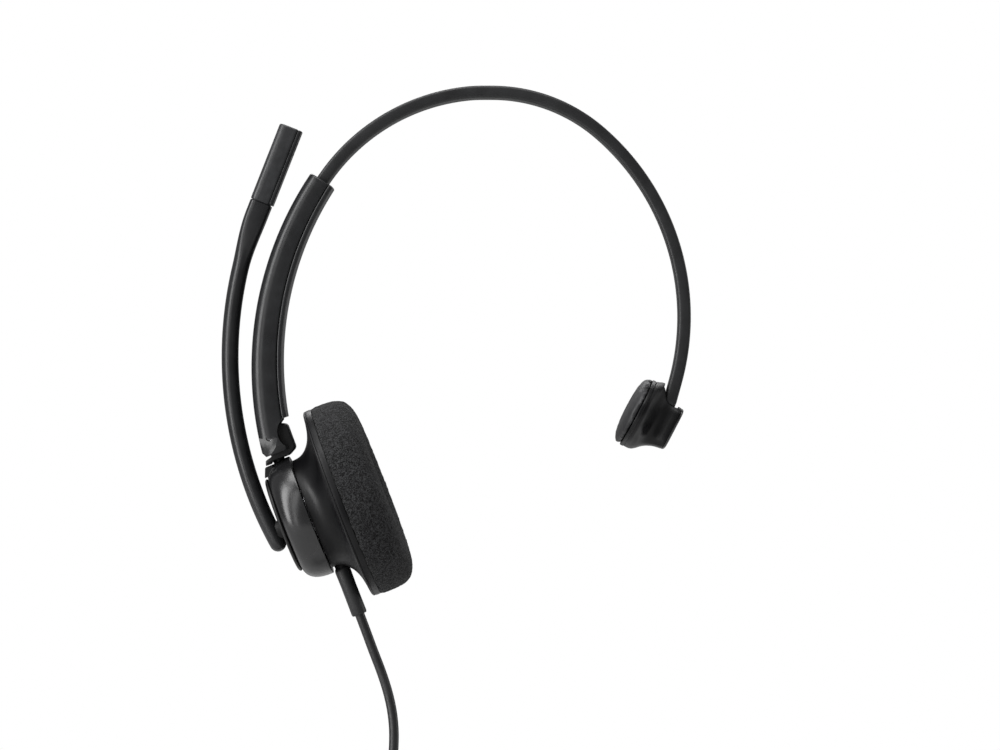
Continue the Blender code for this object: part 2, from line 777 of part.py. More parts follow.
def make_temple_pad(frame):
    outline = [
        (10.3, -1.3),
        (11.1, -3.9),
        (8.6, -5.4),
        (7.2, -6.8),
        (6.6, -8.8),
        (6.7, -11.1),
        (-7.0, -11.1),
        (-7.4, -8.9),
        (-8.3, -6.6),
        (-10.2, -4.4),
        (-11.2, -3.3),
        (-11.3, -1.3),
    ]
    block = slab("temple_housing", outline, TEMPLE_HALF_DEPTH, "satin", frame)
    bevel(block, 0.6, 1, 50.0)
    pin_x, pin_z = TEMPLE_PIN
    room = BARREL_RADIUS + GAP
    slot = [
        (pin_x - room, pin_z - room),
        (14.0, pin_z - room),
        (14.0, -3.5),
        (10.0, -3.5),
        (5.0, -5.2),
        (pin_x - room, pin_z + room),
    ]
    boolean(block, slab("band_slot", slot, BAND_HALF_DEPTH + GAP, parent=frame))
    hole = rod("temple_pin_hole", PIN_HOLE_RADIUS, -7.2, 7.2, None, frame, "Y", (pin_x, 0, pin_z))
    boolean(block, hole)
    rod("temple_pin", PIN_RADIUS, -6.9, 6.9, "steel", frame, "Y", (pin_x, 0, pin_z))

    bore = [(0.0, 0.0), (1.3, 0.0), (1.3, -7.4), (2.1, -7.4), (2.1, -12.0), (0.0, -12.0)]
    boolean(block, turned("screw_bore", bore, None, frame, SMALL_ROUND, (-3.4, 0, 0)))
    screw = [(0.0, -1.6), (1.0, -1.6), (1.0, -7.8), (1.8, -7.8), (1.8, -8.9), (0.0, -8.9)]
    turned("temple_screw", screw, "steel", frame, SMALL_ROUND, (-3.4, 0, 0))

    cap = slab(
        "temple_end_cap",
        [(6.6, -11.4), (6.6, -12.2), (-6.9, -12.2), (-6.9, -11.4)],
        TEMPLE_HALF_DEPTH - 0.1,
        "satin",
        frame,
    )
    bevel(cap, 0.25)
    oval_dome("temple_plate", [(-1.0, 0.97), (-0.8, 1.0), (0.0, 1.0), (0.2, 0.98)], "satin", frame)
    dome = [(0.5, 0.94), (1.0, 0.97), (1.8, 0.94), (2.5, 0.85), (3.1, 0.68), (3.5, 0.4)]
    oval_dome("temple_cushion", dome, "soft", frame)


# ---- cord, coil and plug ----


def smooth_route(route, spacing):
    """Evenly spaced points of a Catmull-Rom curve through the route's points."""
    places = [Vector(place) for place in route]
    places = [2 * places[0] - places[1]] + places + [2 * places[-1] - places[-2]]
    fine = []
    for a, b, c, d in zip(places, places[1:], places[2:], places[3:]):
        for i in range(10):
            t = i / 10
            cubic = 2 * b + (c - a) * t + (2 * a - 5 * b + 4 * c - d) * t * t
            fine.append((cubic + (3 * b - 3 * c + d - a) * t**3) / 2)
    fine.append(places[-2])
    travelled = [0.0]
    for start, end in zip(fine, fine[1:]):
        travelled.append(travelled[-1] + (end - start).length)
    count = max(2, round(travelled[-1] / spacing))
    points = []
    place = 0
    for i in range(count + 1):
        goal = travelled[-1] * i / count
        while place < len(fine) - 2 and travelled[place + 1] < goal:
            place += 1
        share = (goal - travelled[place]) / (travelled[place + 1] - travelled[place])
        points.append(fine[place].lerp(fine[place + 1], min(1.0, share)))
    return points


def make_cord_stretch(name, route, frame):
    points = smooth_route(route, 4 * CORD_RADIUS)
    mesh = tube_mesh(name, points, [CORD_RADIUS] * len(points))
    smooth(mesh)
    hold_in_place(add_piece(name, mesh, "cord"), frame)


def make_coil(frame):
    half = (COIL_LAYERS - 1) / 2 * COIL_PITCH + CORD_RADIUS
    inner = COIL_MID_RADIUS - half
    outer = COIL_MID_RADIUS + half
    centre = (COIL_CENTRE[0], 0, COIL_CENTRE[1])
    ring = [
        (inner + 1.0, half),
        (outer - 1.0, half),
        (outer, half - 1.0),
        (outer, 1.0 - half),
        (outer - 1.0, -half),
        (inner + 1.0, -half),
        (inner, 1.0 - half),
        (inner, half - 1.0),
    ]
    hold_in_place(turned("cord_coil", ring, "cord", None, ROUND, centre, (90, 0, 0)), frame)

    low = inner - 1.4
    strap = [(-3.5, low - 1.2), (3.5, low - 1.2), (3.5, outer + 1.5), (-3.5, outer + 1.5)]
    window = [(-6.0, low), (6.0, low), (6.0, outer + GAP), (-6.0, outer + GAP)]
    tie = slab("cord_tie", strap, half + GAP + 1.2, "tie", None, centre)
    tie.rotation_euler = (0, math.radians(TIE_TURN), 0)
    cutter = slab("tie_window", window, half + GAP, None, None, centre)
    cutter.rotation_euler = (0, math.radians(TIE_TURN), 0)
    boolean(bevel(tie, 0.4), cutter)
    hold_in_place(tie, frame)


def make_plug(frame):
    """A flat USB plug that hangs with its metal shell down."""
    x, y, z = PLUG_TOP
    body_outline = [
        (-3.0, 0.0),
        (3.0, 0.0),
        (PLUG_HALF_WIDTH, -5.5),
        (PLUG_HALF_WIDTH, -PLUG_LENGTH),
        (-PLUG_HALF_WIDTH, -PLUG_LENGTH),
        (-PLUG_HALF_WIDTH, -5.5),
    ]
    body = slab("plug_overmould", body_outline, PLUG_HALF_THICKNESS, "cord", None, (x, y, z))
    bevel(body, 0.8, 2)
    hold_in_place(body, frame)

    top = -PLUG_LENGTH - GAP
    end = top - SHELL_LENGTH
    shell_outline = [(-6.0, top), (6.0, top), (6.0, end), (-6.0, end)]
    shell = slab("plug_shell", shell_outline, 2.25, "plated", None, (x, y, z))
    inside = [(-5.6, end - 2.0), (5.6, end - 2.0), (5.6, top - 1.0), (-5.6, top - 1.0)]
    boolean(shell, slab("shell_inside", inside, 1.85, None, None, (x, y, z)))
    hold_in_place(shell, frame)
    tongue_outline = [(-5.3, end + 0.8), (5.3, end + 0.8), (5.3, top - 1.3), (-5.3, top - 1.3)]
    tongue = slab("plug_tongue", tongue_outline, 0.9, "tie", None, (x, y + 0.6, z))
    hold_in_place(tongue, frame)


def build():
    centre = slide_centre()
    pin = cup_point(TILT_PIN_X, SWIVEL_Z)
    slide_frame = frame_at("slide_axis", (centre[0], 0, centre[1]))
    tilt_frame = frame_at("tilt_axis", (pin[0], 0, pin[1]), CUP_TILT)
    cup_frame = frame_at("cup_frame", (-TILT_PIN_X, 0, -SWIVEL_Z), 0.0, tilt_frame)
    pad_pin = temple_pin_place()
    pad_axis = frame_at("temple_axis", (pad_pin[0], 0, pad_pin[1]), TEMPLE_TILT)
    pad_frame = frame_at("temple_frame", (-TEMPLE_PIN[0], 0, -TEMPLE_PIN[1]), 0.0, pad_axis)
    make_headband()
    make_arm(slide_frame, centre, pin)
    make_knuckle(tilt_frame)
    make_ear_cup(cup_frame)
    make_boom(cup_frame)
    make_temple_pad(pad_frame)
    make_cord_stretch("cord", CORD_ROUTE, cup_frame)
    make_cord_stretch("cord_tail", TAIL_ROUTE, cup_frame)
    make_coil(cup_frame)
    make_plug(cup_frame)


clear_scene()
PARTS = new_collection("office_headset")
CUTTERS = new_collection("cutters")
MATERIALS = make_materials()
build()
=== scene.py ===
import math

import bmesh
import bpy
from mathutils import Matrix, Vector, noise


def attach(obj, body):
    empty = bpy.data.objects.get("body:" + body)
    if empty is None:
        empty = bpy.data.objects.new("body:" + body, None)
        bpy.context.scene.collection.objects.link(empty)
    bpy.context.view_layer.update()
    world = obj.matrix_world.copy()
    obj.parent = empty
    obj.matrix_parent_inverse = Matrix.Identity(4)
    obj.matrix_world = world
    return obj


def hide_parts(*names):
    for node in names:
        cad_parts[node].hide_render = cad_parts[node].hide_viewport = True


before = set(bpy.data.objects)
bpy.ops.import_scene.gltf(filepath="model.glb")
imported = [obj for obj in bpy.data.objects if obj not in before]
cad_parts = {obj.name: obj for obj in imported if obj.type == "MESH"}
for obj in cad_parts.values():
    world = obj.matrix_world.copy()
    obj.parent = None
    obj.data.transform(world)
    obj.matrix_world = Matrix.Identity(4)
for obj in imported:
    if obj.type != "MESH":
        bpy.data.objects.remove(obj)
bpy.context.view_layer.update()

# The look of a single-sided office headset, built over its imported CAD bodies.
# Lengths are in millimetres until a mesh is made. The origin is the headband's underside at the crown.
# +X points to the temple pad, and the headband lies in the XZ plane.

MM = 0.001
GAP = 0.3  # clearance around the headband in the arm


# ---- frames of the pieces ----


def turned_frame(x, z, tilt):
    return Matrix.Translation(Vector((x, 0.0, z)) * MM) @ Matrix.Rotation(math.radians(tilt), 4, "Y")


# The ear cup's frame has local X down the cup and local Z towards the head, as the knuckle's has.
CUP_TILT = 69.0
TILT_PIN = (-64.99, -101.52)
CUP = turned_frame(-60.9, -127.8, CUP_TILT)
KNUCKLE = turned_frame(*TILT_PIN, CUP_TILT)
TEMPLE = turned_frame(45.273, -93.5, -62.5)
SWIVEL_Z = 5.6  # the stem's height in the cup
CORD_HOLE_Z = 11.6  # the cord's height in the cup
PIN_HOLE_RADIUS = 1.1
RIM_PLANE_Z = 20.04  # where the foam meets its ring

# Headband: half its thickness and depth, and its bends from the crown outwards as (radius, sweep).
BAND_HALF = 1.85
BAND_HALF_DEPTH = 6.0
BAND_STEP = 1.5
SLIDE_CENTRE = (33.079, -79.558)
SLIDE_RADIUS = 98.9
TEMPLE_SIDE_ARCS = ((49.5, 40.8), (72.9, 64.6))
ARM_SIDE_ARCS = ((42.2, 6.0), (59.3, 49.9), (SLIDE_RADIUS, 34.8))

# Sliding arm: radii of its sides about its centre, and the angles of its mouth and foot.
ARM_CENTRE = (33.7, -78.6)
ARM_INNER = 94.95
ARM_OUTER_TOP = 103.05
ARM_OUTER_END = 104.65
ARM_TOP_ANGLE = 33.1
ARM_INNER_END_ANGLE = -14.3
ARM_END_ANGLE = -15.3
ARM_LENGTH = 84.0
ARM_HALF_DEPTH = 8.25
ARM_BELLY = 0.25
ARM_RIM = 0.7
CHANNEL_HALF_DEPTH = 6.3
CHEEK_INSIDE = 5.35
NOTCH_CENTRE = (-57.45, -99.6)
NOTCH_RADIUS = 5.1
FACET_SLANT = 29.0

# Boom: an arc in the cup's frame, between two angles.
BOOM_ARC_CENTRE = (-11.4, 111.2)
BOOM_ARC_RADIUS = 115.9
BOOM_ROOT_ANGLE = 9.1
BOOM_TIP_ANGLE = -42.5
BOOM_RADIUS = 2.55

# Temple pad: its oval's half width, half length and centre, in its own frame.
PAD_OVAL = (10.9, 17.0, -0.6)

# Cord and plug.
CORD_RADIUS = 1.5
CORD_LEVEL = -4.65
COIL = (-28.0, -228.4)
PITCH = 3.1
COIL_START = 105.0
PLUG = (-40.3, -11.5, -233.5)


# ---- camera ----


def add_camera():
    """A long lens square to the headband's plane."""
    target = Vector((3.9, 0.0, -82.8)) * MM
    data = bpy.data.cameras.new("camera")
    data.lens = 162.0
    data.sensor_width = 36.0
    data.clip_start = 0.05
    camera = bpy.data.objects.new("camera", data)
    bpy.context.scene.collection.objects.link(camera)
    camera.location = target + Vector((0.0, -1.35, 0.0))
    camera.rotation_euler = (target - camera.location).to_track_quat("-Z", "Y").to_euler()
    bpy.context.scene.camera = camera


add_camera()


# ---- materials ----


def start_material(name, color, roughness, metallic=0.0):
    material = bpy.data.materials.new(name)
    material.use_nodes = True
    tree = material.node_tree
    shader = tree.nodes["Principled BSDF"]
    shader.inputs["Base Color"].default_value = (*color, 1.0)
    shader.inputs["Roughness"].default_value = roughness
    shader.inputs["Metallic"].default_value = metallic
    return material, tree, shader


def noise_node(tree, scale, detail=2.0, distortion=0.0, stretch=None):
    place = tree.nodes.new("ShaderNodeTexCoord").outputs["Object"]
    if stretch:
        mapping = tree.nodes.new("ShaderNodeMapping")
        mapping.inputs["Scale"].default_value = stretch
        tree.links.new(place, mapping.inputs["Vector"])
        place = mapping.outputs["Vector"]
    node = tree.nodes.new("ShaderNodeTexNoise")
    node.inputs["Scale"].default_value = scale
    node.inputs["Detail"].default_value = detail
    node.inputs["Distortion"].default_value = distortion
    tree.links.new(place, node.inputs["Vector"])
    return node.outputs["Fac"]


def vary_roughness(tree, shader, value, low, high):
    """Roughness from low to high as a noise value rises."""
    node = tree.nodes.new("ShaderNodeMapRange")
    node.inputs["From Min"].default_value = 0.35
    node.inputs["From Max"].default_value = 0.65
    node.inputs["To Min"].default_value = low
    node.inputs["To Max"].default_value = high
    tree.links.new(value, node.inputs["Value"])
    tree.links.new(node.outputs["Result"], shader.inputs["Roughness"])


def tint(tree, shader, value, dark, light, spread=0.15):
    """Base colour from dark to light over a spread of noise values about one half."""
    ramp = tree.nodes.new("ShaderNodeValToRGB")
    ramp.color_ramp.elements[0].position = 0.5 - spread
    ramp.color_ramp.elements[0].color = (*dark, 1.0)
    ramp.color_ramp.elements[1].position = 0.5 + spread
    ramp.color_ramp.elements[1].color = (*light, 1.0)
    tree.links.new(value, ramp.inputs["Fac"])
    tree.links.new(ramp.outputs["Color"], shader.inputs["Base Color"])


def add_bump(tree, shader, heights):
    """Chains bumps, each a (value, strength, height in mm)."""
    normal = None
    for value, strength, height in heights:
        bump = tree.nodes.new("ShaderNodeBump")
        bump.inputs["Strength"].default_value = strength
        bump.inputs["Distance"].default_value = height * MM
        tree.links.new(value, bump.inputs["Height"])
        if normal:
            tree.links.new(normal, bump.inputs["Normal"])
        normal = bump.outputs["Normal"]
    tree.links.new(normal, shader.inputs["Normal"])


def moulded(name, color, roughness, grain, height):
    """Moulded plastic with a spark-eroded grain, uneven gloss and faint handling marks."""
    material, tree, shader = start_material(name, color, roughness)
    patches = noise_node(tree, 70.0, 3.0)
    vary_roughness(tree, shader, patches, roughness - 0.05, roughness + 0.05)
    marks = noise_node(tree, 260.0, 4.0)
    tint(tree, shader, marks, [c * 0.8 for c in color], [c * 1.25 for c in color])
    fine = noise_node(tree, grain, 1.0)
    wave = noise_node(tree, 45.0, 1.0)
    add_bump(tree, shader, [(wave, 0.25, 0.05), (fine, 0.5, height)])
    return material


def polished(name, color, roughness, specular):
    """Glossy plastic with faint smears and hairline scuffs."""
    material, tree, shader = start_material(name, color, roughness)
    shader.inputs["Specular IOR Level"].default_value = specular
    smears = noise_node(tree, 55.0, 4.0, 0.6)
    vary_roughness(tree, shader, smears, roughness * 0.7, roughness * 1.6)
    tint(tree, shader, noise_node(tree, 120.0), color, [c * 1.5 for c in color])
    scuffs = noise_node(tree, 900.0, 2.0, 0.0, (1.0, 1.0, 0.08))
    wave = noise_node(tree, 38.0, 1.0)
    add_bump(tree, shader, [(wave, 0.2, 0.05), (scuffs, 0.08, 0.01)])
    return material


def foam():
    """Open-cell foam: small pores and short worm-like ridges, with painted shade: its colour is darkest in
    the pores, where the bump is low.
    """
    material, tree, shader = start_material("cushion_foam_look", (0.03, 0.031, 0.033), 0.95)
    cells = noise_node(tree, 1900.0, 0.0, 1.4)
    broad = noise_node(tree, 60.0, 2.0)
    # painted shade: the same cell noise as the bump paints the low pores near black and the ridges dark grey
    tint(tree, shader, cells, (0.001, 0.001, 0.0012), (0.034, 0.0345, 0.036), 0.06)
    shader.inputs["Specular IOR Level"].default_value = 0.25
    shader.inputs["Sheen Weight"].default_value = 0.06
    shader.inputs["Sheen Roughness"].default_value = 0.6
    vary_roughness(tree, shader, broad, 0.88, 1.0)
    add_bump(tree, shader, [(cells, 1.0, 0.6), (noise_node(tree, 3200.0, 1.0), 0.4, 0.1)])
    return material


def soft_rubber(name, color, roughness, grain):
    """Matt rubber or soft skin with an uneven grain."""
    material, tree, shader = start_material(name, color, roughness)
    patches = noise_node(tree, 130.0, 3.0)
    vary_roughness(tree, shader, patches, roughness - 0.08, roughness + 0.08)
    tint(tree, shader, patches, [c * 0.75 for c in color], [c * 1.3 for c in color])
    skin = noise_node(tree, grain, 3.0, 0.5)
    add_bump(tree, shader, [(skin, 0.5, 0.12), (noise_node(tree, 4200.0), 0.25, 0.03)])
    return material


def metal(name, color, roughness):
    """Bright metal with drawn lines and slightly dulled patches."""
    material, tree, shader = start_material(name, color, roughness, 1.0)
    lines = noise_node(tree, 2600.0, 2.0, 0.0, (1.0, 1.0, 0.06))
    dull = noise_node(tree, 220.0, 3.0)
    vary_roughness(tree, shader, dull, roughness * 0.7, roughness * 1.5)
    tint(tree, shader, dull, [c * 0.85 for c in color], color)
    add_bump(tree, shader, [(lines, 0.2, 0.02)])
    return material


def hook_tape():
    """Hook and loop strap: a dense nap of short fibres."""
    material, tree, shader = start_material("tie_strap_look", (0.02, 0.02, 0.022), 0.9)
    nap = noise_node(tree, 2400.0, 3.0, 1.0)
    tint(tree, shader, nap, (0.008, 0.008, 0.009), (0.045, 0.045, 0.05))
    shader.inputs["Sheen Weight"].default_value = 0.3
    add_bump(tree, shader, [(nap, 0.8, 0.2)])
    return material


def board():
    """Circuit board with faint traces under its green coat."""
    material, tree, shader = start_material("board_green_look", (0.02, 0.16, 0.07), 0.4)
    traces = noise_node(tree, 700.0, 1.0, 0.0, (1.0, 0.12, 1.0))
    tint(tree, shader, traces, (0.012, 0.11, 0.045), (0.03, 0.2, 0.09))
    add_bump(tree, shader, [(traces, 0.2, 0.03)])
    return material


LOOKS = {
    "band": moulded("band_plastic_look", (0.012, 0.0123, 0.0132), 0.40, 5200.0, 0.02),
    "satin": moulded("satin_plastic_look", (0.0115, 0.0118, 0.0128), 0.32, 6500.0, 0.012),
    "tip": moulded("microphone_plastic_look", (0.024, 0.0245, 0.026), 0.36, 6000.0, 0.014),
    "gloss": polished("gloss_plastic_look", (0.008, 0.008, 0.0085), 0.22, 0.75),
    "semi": polished("semi_gloss_plastic_look", (0.003, 0.003, 0.0035), 0.4, 0.3),
    # near black, darker than the other plastics: partly the knuckle's own black plastic, partly painted shade
    # for the notch it fills; the boom disc and plug tongue share it
    "dark": moulded("knuckle_plastic_and_notch_shade_look", (0.002, 0.002, 0.0022), 0.5, 6500.0, 0.012),
    "foam": foam(),
    "soft": soft_rubber("pad_rubber_look", (0.019, 0.019, 0.0205), 0.5, 900.0),
    "cord": soft_rubber("cord_jacket_look", (0.016, 0.016, 0.017), 0.42, 1500.0),
    "steel": metal("spring_steel_look", (0.55, 0.55, 0.57), 0.28),
    "plated": metal("plug_metal_look", (0.72, 0.72, 0.74), 0.2),
    "film": moulded("diaphragm_film_look", (0.09, 0.09, 0.1), 0.4, 3000.0, 0.02),
    "board": board(),
    "tie": hook_tape(),
}


# ---- shapes ----


def fillet(corners, closed=True, steps=4):
    """Rounds a flat outline. Each corner is (x, y) or (x, y, size of its rounding)."""
    points = []
    count = len(corners)
    for i, corner in enumerate(corners):
        here = Vector(corner[:2])
        size = corner[2] if len(corner) > 2 else 0.0
        if not size or (not closed and i in (0, count - 1)):
            points.append(tuple(here))
            continue
        back = Vector(corners[i - 1][:2]) - here
        ahead = Vector(corners[(i + 1) % count][:2]) - here
        start = here + back.normalized() * min(size, back.length * 0.49)
        end = here + ahead.normalized() * min(size, ahead.length * 0.49)
        for k in range(steps + 1):
            t = k / steps
            points.append(tuple(start * (1 - t) ** 2 + here * 2 * t * (1 - t) + end * t * t))
    return points


def spline(points, per_span=6):
    """A smooth curve through points of any dimension."""
    places = [Vector(p) for p in points]
    places = [2 * places[0] - places[1]] + places + [2 * places[-1] - places[-2]]
    out = []
    for a, b, c, d in zip(places, places[1:], places[2:], places[3:]):
        for i in range(per_span):
            t = i / per_span
            cubic = 2 * b + (c - a) * t + (2 * a - 5 * b + 4 * c - d) * t * t
            out.append((cubic + (3 * b - 3 * c + d - a) * t**3) / 2)
    return out + [places[-2]]


def finish_mesh(mesh, matrix=None, sharp=38.0):
    """Welds a mesh, turns its faces outwards and shades it smooth below a given edge angle."""
    if matrix:
        mesh.transform(matrix)
    edit = bmesh.new()
    edit.from_mesh(mesh)
    bmesh.ops.remove_doubles(edit, verts=edit.verts, dist=0.001 * MM)
    bmesh.ops.recalc_face_normals(edit, faces=edit.faces)
    edit.to_mesh(mesh)
    edit.free()
    mesh.shade_smooth()
    mesh.set_sharp_from_angle(angle=math.radians(sharp))
    return mesh


def loft_mesh(name, rings, matrix=None, closed_path=False):
    """A closed skin over rings of (x, y, z) points in millimetres, with flat ends."""
    mesh = bpy.data.meshes.new(name)
    edit = bmesh.new()
    loops = [[edit.verts.new(Vector(p) * MM) for p in ring] for ring in rings]
    pairs = list(zip(loops, loops[1:]))
    if closed_path:
        pairs.append((loops[-1], loops[0]))
    for low, high in pairs:
        for i in range(len(low)):
            j = (i + 1) % len(low)
            edit.faces.new((low[i], low[j], high[j], high[i]))
    if not closed_path:
        edit.faces.new(loops[0][::-1])
        edit.faces.new(loops[-1])
    edit.to_mesh(mesh)
    edit.free()
    return finish_mesh(mesh, matrix)


def turned_mesh(name, profile, matrix=None, sides=128):
    """A turned solid about local Z from a closed (radius, z) outline, which may touch the axis."""
    mesh = bpy.data.meshes.new(name)
    edit = bmesh.new()
    angles = [2 * math.pi * i / sides for i in range(sides)]
    loops = []
    for radius, z in profile:
        if radius < 1e-6:
            loops.append([edit.verts.new((0, 0, z * MM))] * sides)
        else:
            ring = [(radius * math.cos(a) * MM, radius * math.sin(a) * MM, z * MM) for a in angles]
            loops.append([edit.verts.new(place) for place in ring])
    on_axis = profile[0][0] < 1e-6 and profile[-1][0] < 1e-6
    pairs = list(zip(loops, loops[1:])) + ([] if on_axis else [(loops[-1], loops[0])])
    for low, high in pairs:
        for i in range(sides):
            j = (i + 1) % sides
            corners = [low[i], low[j], high[j], high[i]]
            unique = [v for k, v in enumerate(corners) if v not in corners[:k]]
            if len(unique) > 2:
                edit.faces.new(unique)
    edit.to_mesh(mesh)
    edit.free()
    return finish_mesh(mesh, matrix)


def slab_mesh(name, outline, low, high, matrix=None, edge=0.0):
    """An (x, z) outline with depth from low to high along Y, and edges rounded by an inset."""
    rings = [(low, 0.0), (high, 0.0)]
    if edge:
        turns = [math.pi / 8 * k for k in range(5)]
        rounding = [(edge * (1 - math.cos(turn)), edge * (1 - math.sin(turn))) for turn in turns]
        rings = [(low + rise, inset) for rise, inset in rounding]
        rings += [(high - rise, inset) for rise, inset in rounding[::-1]]
    count = len(outline)
    area = sum(outline[i - 1][0] * outline[i][1] - outline[i][0] * outline[i - 1][1] for i in range(count))
    side = 1.0 if area > 0 else -1.0
    normals = []
    for i in range(count):
        a = Vector(outline[i]) - Vector(outline[i - 1])
        b = Vector(outline[(i + 1) % count]) - Vector(outline[i])
        way = (a.normalized() + b.normalized()).normalized()
        normals.append(Vector((-way.y, way.x)) * side)
    made = []
    for y, inset in rings:
        made.append([(p[0] + n.x * inset, y, p[1] + n.y * inset) for p, n in zip(outline, normals)])
    return loft_mesh(name, made, matrix)


def piece(name, mesh, look, body, *nodes):
    """A visible piece in the headset's frame, riding on a body in place of its CAD nodes."""
    obj = bpy.data.objects.new(name, mesh)
    bpy.context.scene.collection.objects.link(obj)
    mesh.materials.clear()
    mesh.materials.append(LOOKS[look])
    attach(obj, body)
    if nodes:
        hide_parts(*nodes)
    return obj


def cut(name, mesh, *tools, union=()):
    """The mesh after Booleans with closed tool meshes, with nothing left in the scene."""
    holder = bpy.data.objects.new(name, mesh)
    bpy.context.scene.collection.objects.link(holder)
    helpers = []
    for tool in (*union, *tools):
        helper = bpy.data.objects.new(f"{name}_tool", tool)
        bpy.context.scene.collection.objects.link(helper)
        helpers.append(helper)
        modifier = holder.modifiers.new("cut", "BOOLEAN")
        modifier.operation = "UNION" if tool in union else "DIFFERENCE"
        modifier.solver = "EXACT"
        modifier.object = helper
    bpy.context.view_layer.update()
    graph = bpy.context.evaluated_depsgraph_get()
    result = bpy.data.meshes.new_from_object(holder.evaluated_get(graph))
    for obj in (holder, *helpers):
        bpy.data.objects.remove(obj, do_unlink=True)
    result.name = name
    return finish_mesh(result)


def cylinder(radius, low, high, matrix, sides=48):
    profile = [(0.0, low), (radius, low), (radius, high), (0.0, high)]
    return turned_mesh("cylinder", profile, matrix, sides)


def polar(centre, radius, angle):
    turn = math.radians(angle)
    return (centre[0] + radius * math.cos(turn), centre[1] + radius * math.sin(turn))


def across(x, z):
    """A frame at a point of the XZ plane with its local Z along Y."""
    return Matrix.Translation(Vector((x, 0.0, z)) * MM) @ Matrix.Rotation(math.radians(-90), 4, "X")


def cup_radial(z):
    """A frame on the cup's axis at a height, with its local Z along the cup's local X."""
    return CUP @ Matrix.Translation((0, 0, z * MM)) @ Matrix.Rotation(math.radians(90), 4, "Y")


def cup_point(x, z):
    """A place in the cup's frame, as a point of the XZ plane."""
    place = CUP @ (Vector((x, 0.0, z)) * MM) / MM
    return Vector((place.x, place.z))


def box_ring(a, b, half_depth):
    """A rectangle across the XZ plane through two of its points."""
    places = ((a, -half_depth), (b, -half_depth), (b, half_depth), (a, half_depth))
    return [(place[0], y, place[1]) for place, y in places]


# ---- headband ----


def walk(side, arcs):
    """Stations (x, z, normal x, normal z) along the headband from its crown down one side."""
    x, z, heading = side * 1.5, BAND_HALF, 0.0
    stations = [(x, z, 0.0, 1.0)]
    for radius, sweep in arcs:
        count = math.ceil(sweep / BAND_STEP)
        half = math.radians(sweep / count / 2)
        for _ in range(count):
            heading += half
            x += side * 2 * radius * math.sin(half) * math.cos(heading)
            z -= 2 * radius * math.sin(half) * math.sin(heading)
            heading += half
            stations.append((x, z, side * math.sin(heading), math.cos(heading)))
    return stations


def band_section():
    corner = 0.9
    corners = [
        (-BAND_HALF, -BAND_HALF_DEPTH, corner),
        (BAND_HALF, -BAND_HALF_DEPTH, corner),
        (BAND_HALF, BAND_HALF_DEPTH, corner),
        (-BAND_HALF, BAND_HALF_DEPTH, corner),
    ]
    return fillet(corners, steps=3)


def along(stations, section, insets):
    """Rings of a section of (offset, y) at each station, each drawn in by its inset."""
    rings = []
    for (x, z, nx, nz), inset in zip(stations, insets):
        ring = []
        for offset, y in section:
            o = offset - math.copysign(min(inset, abs(offset)), offset)
            w = y - math.copysign(min(inset, abs(y)), y)
            ring.append((x + nx * o, w, z + nz * o))
        rings.append(ring)
    return rings


def make_headband():
    arm_side = walk(-1, ARM_SIDE_ARCS)
    temple_side = walk(1, TEMPLE_SIDE_ARCS)
    x, z, nx, nz = temple_side[-1]
    for reach in (2.0, 4.0, 6.0, 7.5, 7.9):
        temple_side.append((x + nz * reach, z - nx * reach, nx, nz))
    stations = arm_side[::-1] + temple_side
    insets = [0.0] * len(stations)
    insets[0] = 0.5
    insets[-1] = 0.5
    insets[-2] = 0.15
    mesh = loft_mesh("headband", along(stations, band_section(), insets))
    piece("headband", mesh, "band", "headband", "headband_sleeve")


make_headband()


# ---- sliding arm ----


def arm_line(share):
    """Inner and outer points of the arm, from its mouth at share 0 to its foot at share 1."""
    mouth = 180.0 - ARM_TOP_ANGLE
    inner = polar(ARM_CENTRE, ARM_INNER, mouth + (ARM_TOP_ANGLE - ARM_INNER_END_ANGLE) * share)
    radius = ARM_OUTER_TOP + (ARM_OUTER_END - ARM_OUTER_TOP) * share
    outer = polar(ARM_CENTRE, radius, mouth + (ARM_TOP_ANGLE - ARM_END_ANGLE) * share)
    return Vector(inner), Vector(outer)


def arm_section(inner, outer, low, high, half_depth, round_low, round_high, inset=0.0):
    """One ring of the arm between two distances from its inner side."""
    way = (outer - inner).normalized()
    total = (outer - inner).length
    top = total if high is None else high
    bottom = low + inset if low < 0.01 else low
    top -= inset if high is None else 0.0
    depth = half_depth - inset
    corners = [
        (bottom, -depth, round_low),
        (top, -depth, round_high),
        (top, depth, round_high),
        (bottom, depth, round_low),
    ]
    ring = []
    for distance, y in fillet(corners, steps=7):
        belly = ARM_BELLY * (1 - (2 * distance / total - 1) ** 2)
        place = inner + way * distance
        ring.append((place.x, y + math.copysign(belly, y), place.y))
    return ring


def arm_rings(low, high, round_low, round_high, last_share):
    """Rings of a layer of the arm, from a rounded rim at the mouth to a share of its length."""
    rings = []
    shares = [ARM_RIM * (1 - math.cos(math.radians(a))) / ARM_LENGTH for a in (0, 20, 40, 60, 80)]
    shares += [0.02 + (last_share - 0.02) * i / 44 for i in range(45)]
    for share in shares:
        inner, outer = arm_line(share)
        depth_in = min(ARM_RIM, share * ARM_LENGTH)
        inset = ARM_RIM - math.sqrt(max(0.0, ARM_RIM**2 - (ARM_RIM - depth_in) ** 2))
        rings.append(arm_section(inner, outer, low, high, ARM_HALF_DEPTH, round_low, round_high, inset))
    return rings


def channel_tool(low, high):
    """The space that the headband slides in, between two distances from its middle line."""
    rings = []
    for i in range(60):
        angle = 180.0 - ARM_TOP_ANGLE - 8.0 + (ARM_TOP_ANGLE + 16.6) * i / 59
        a = polar(SLIDE_CENTRE, SLIDE_RADIUS + low, angle)
        b = polar(SLIDE_CENTRE, SLIDE_RADIUS + high, angle)
        rings.append(box_ring(a, b, CHANNEL_HALF_DEPTH))
    return loft_mesh("channel", rings)


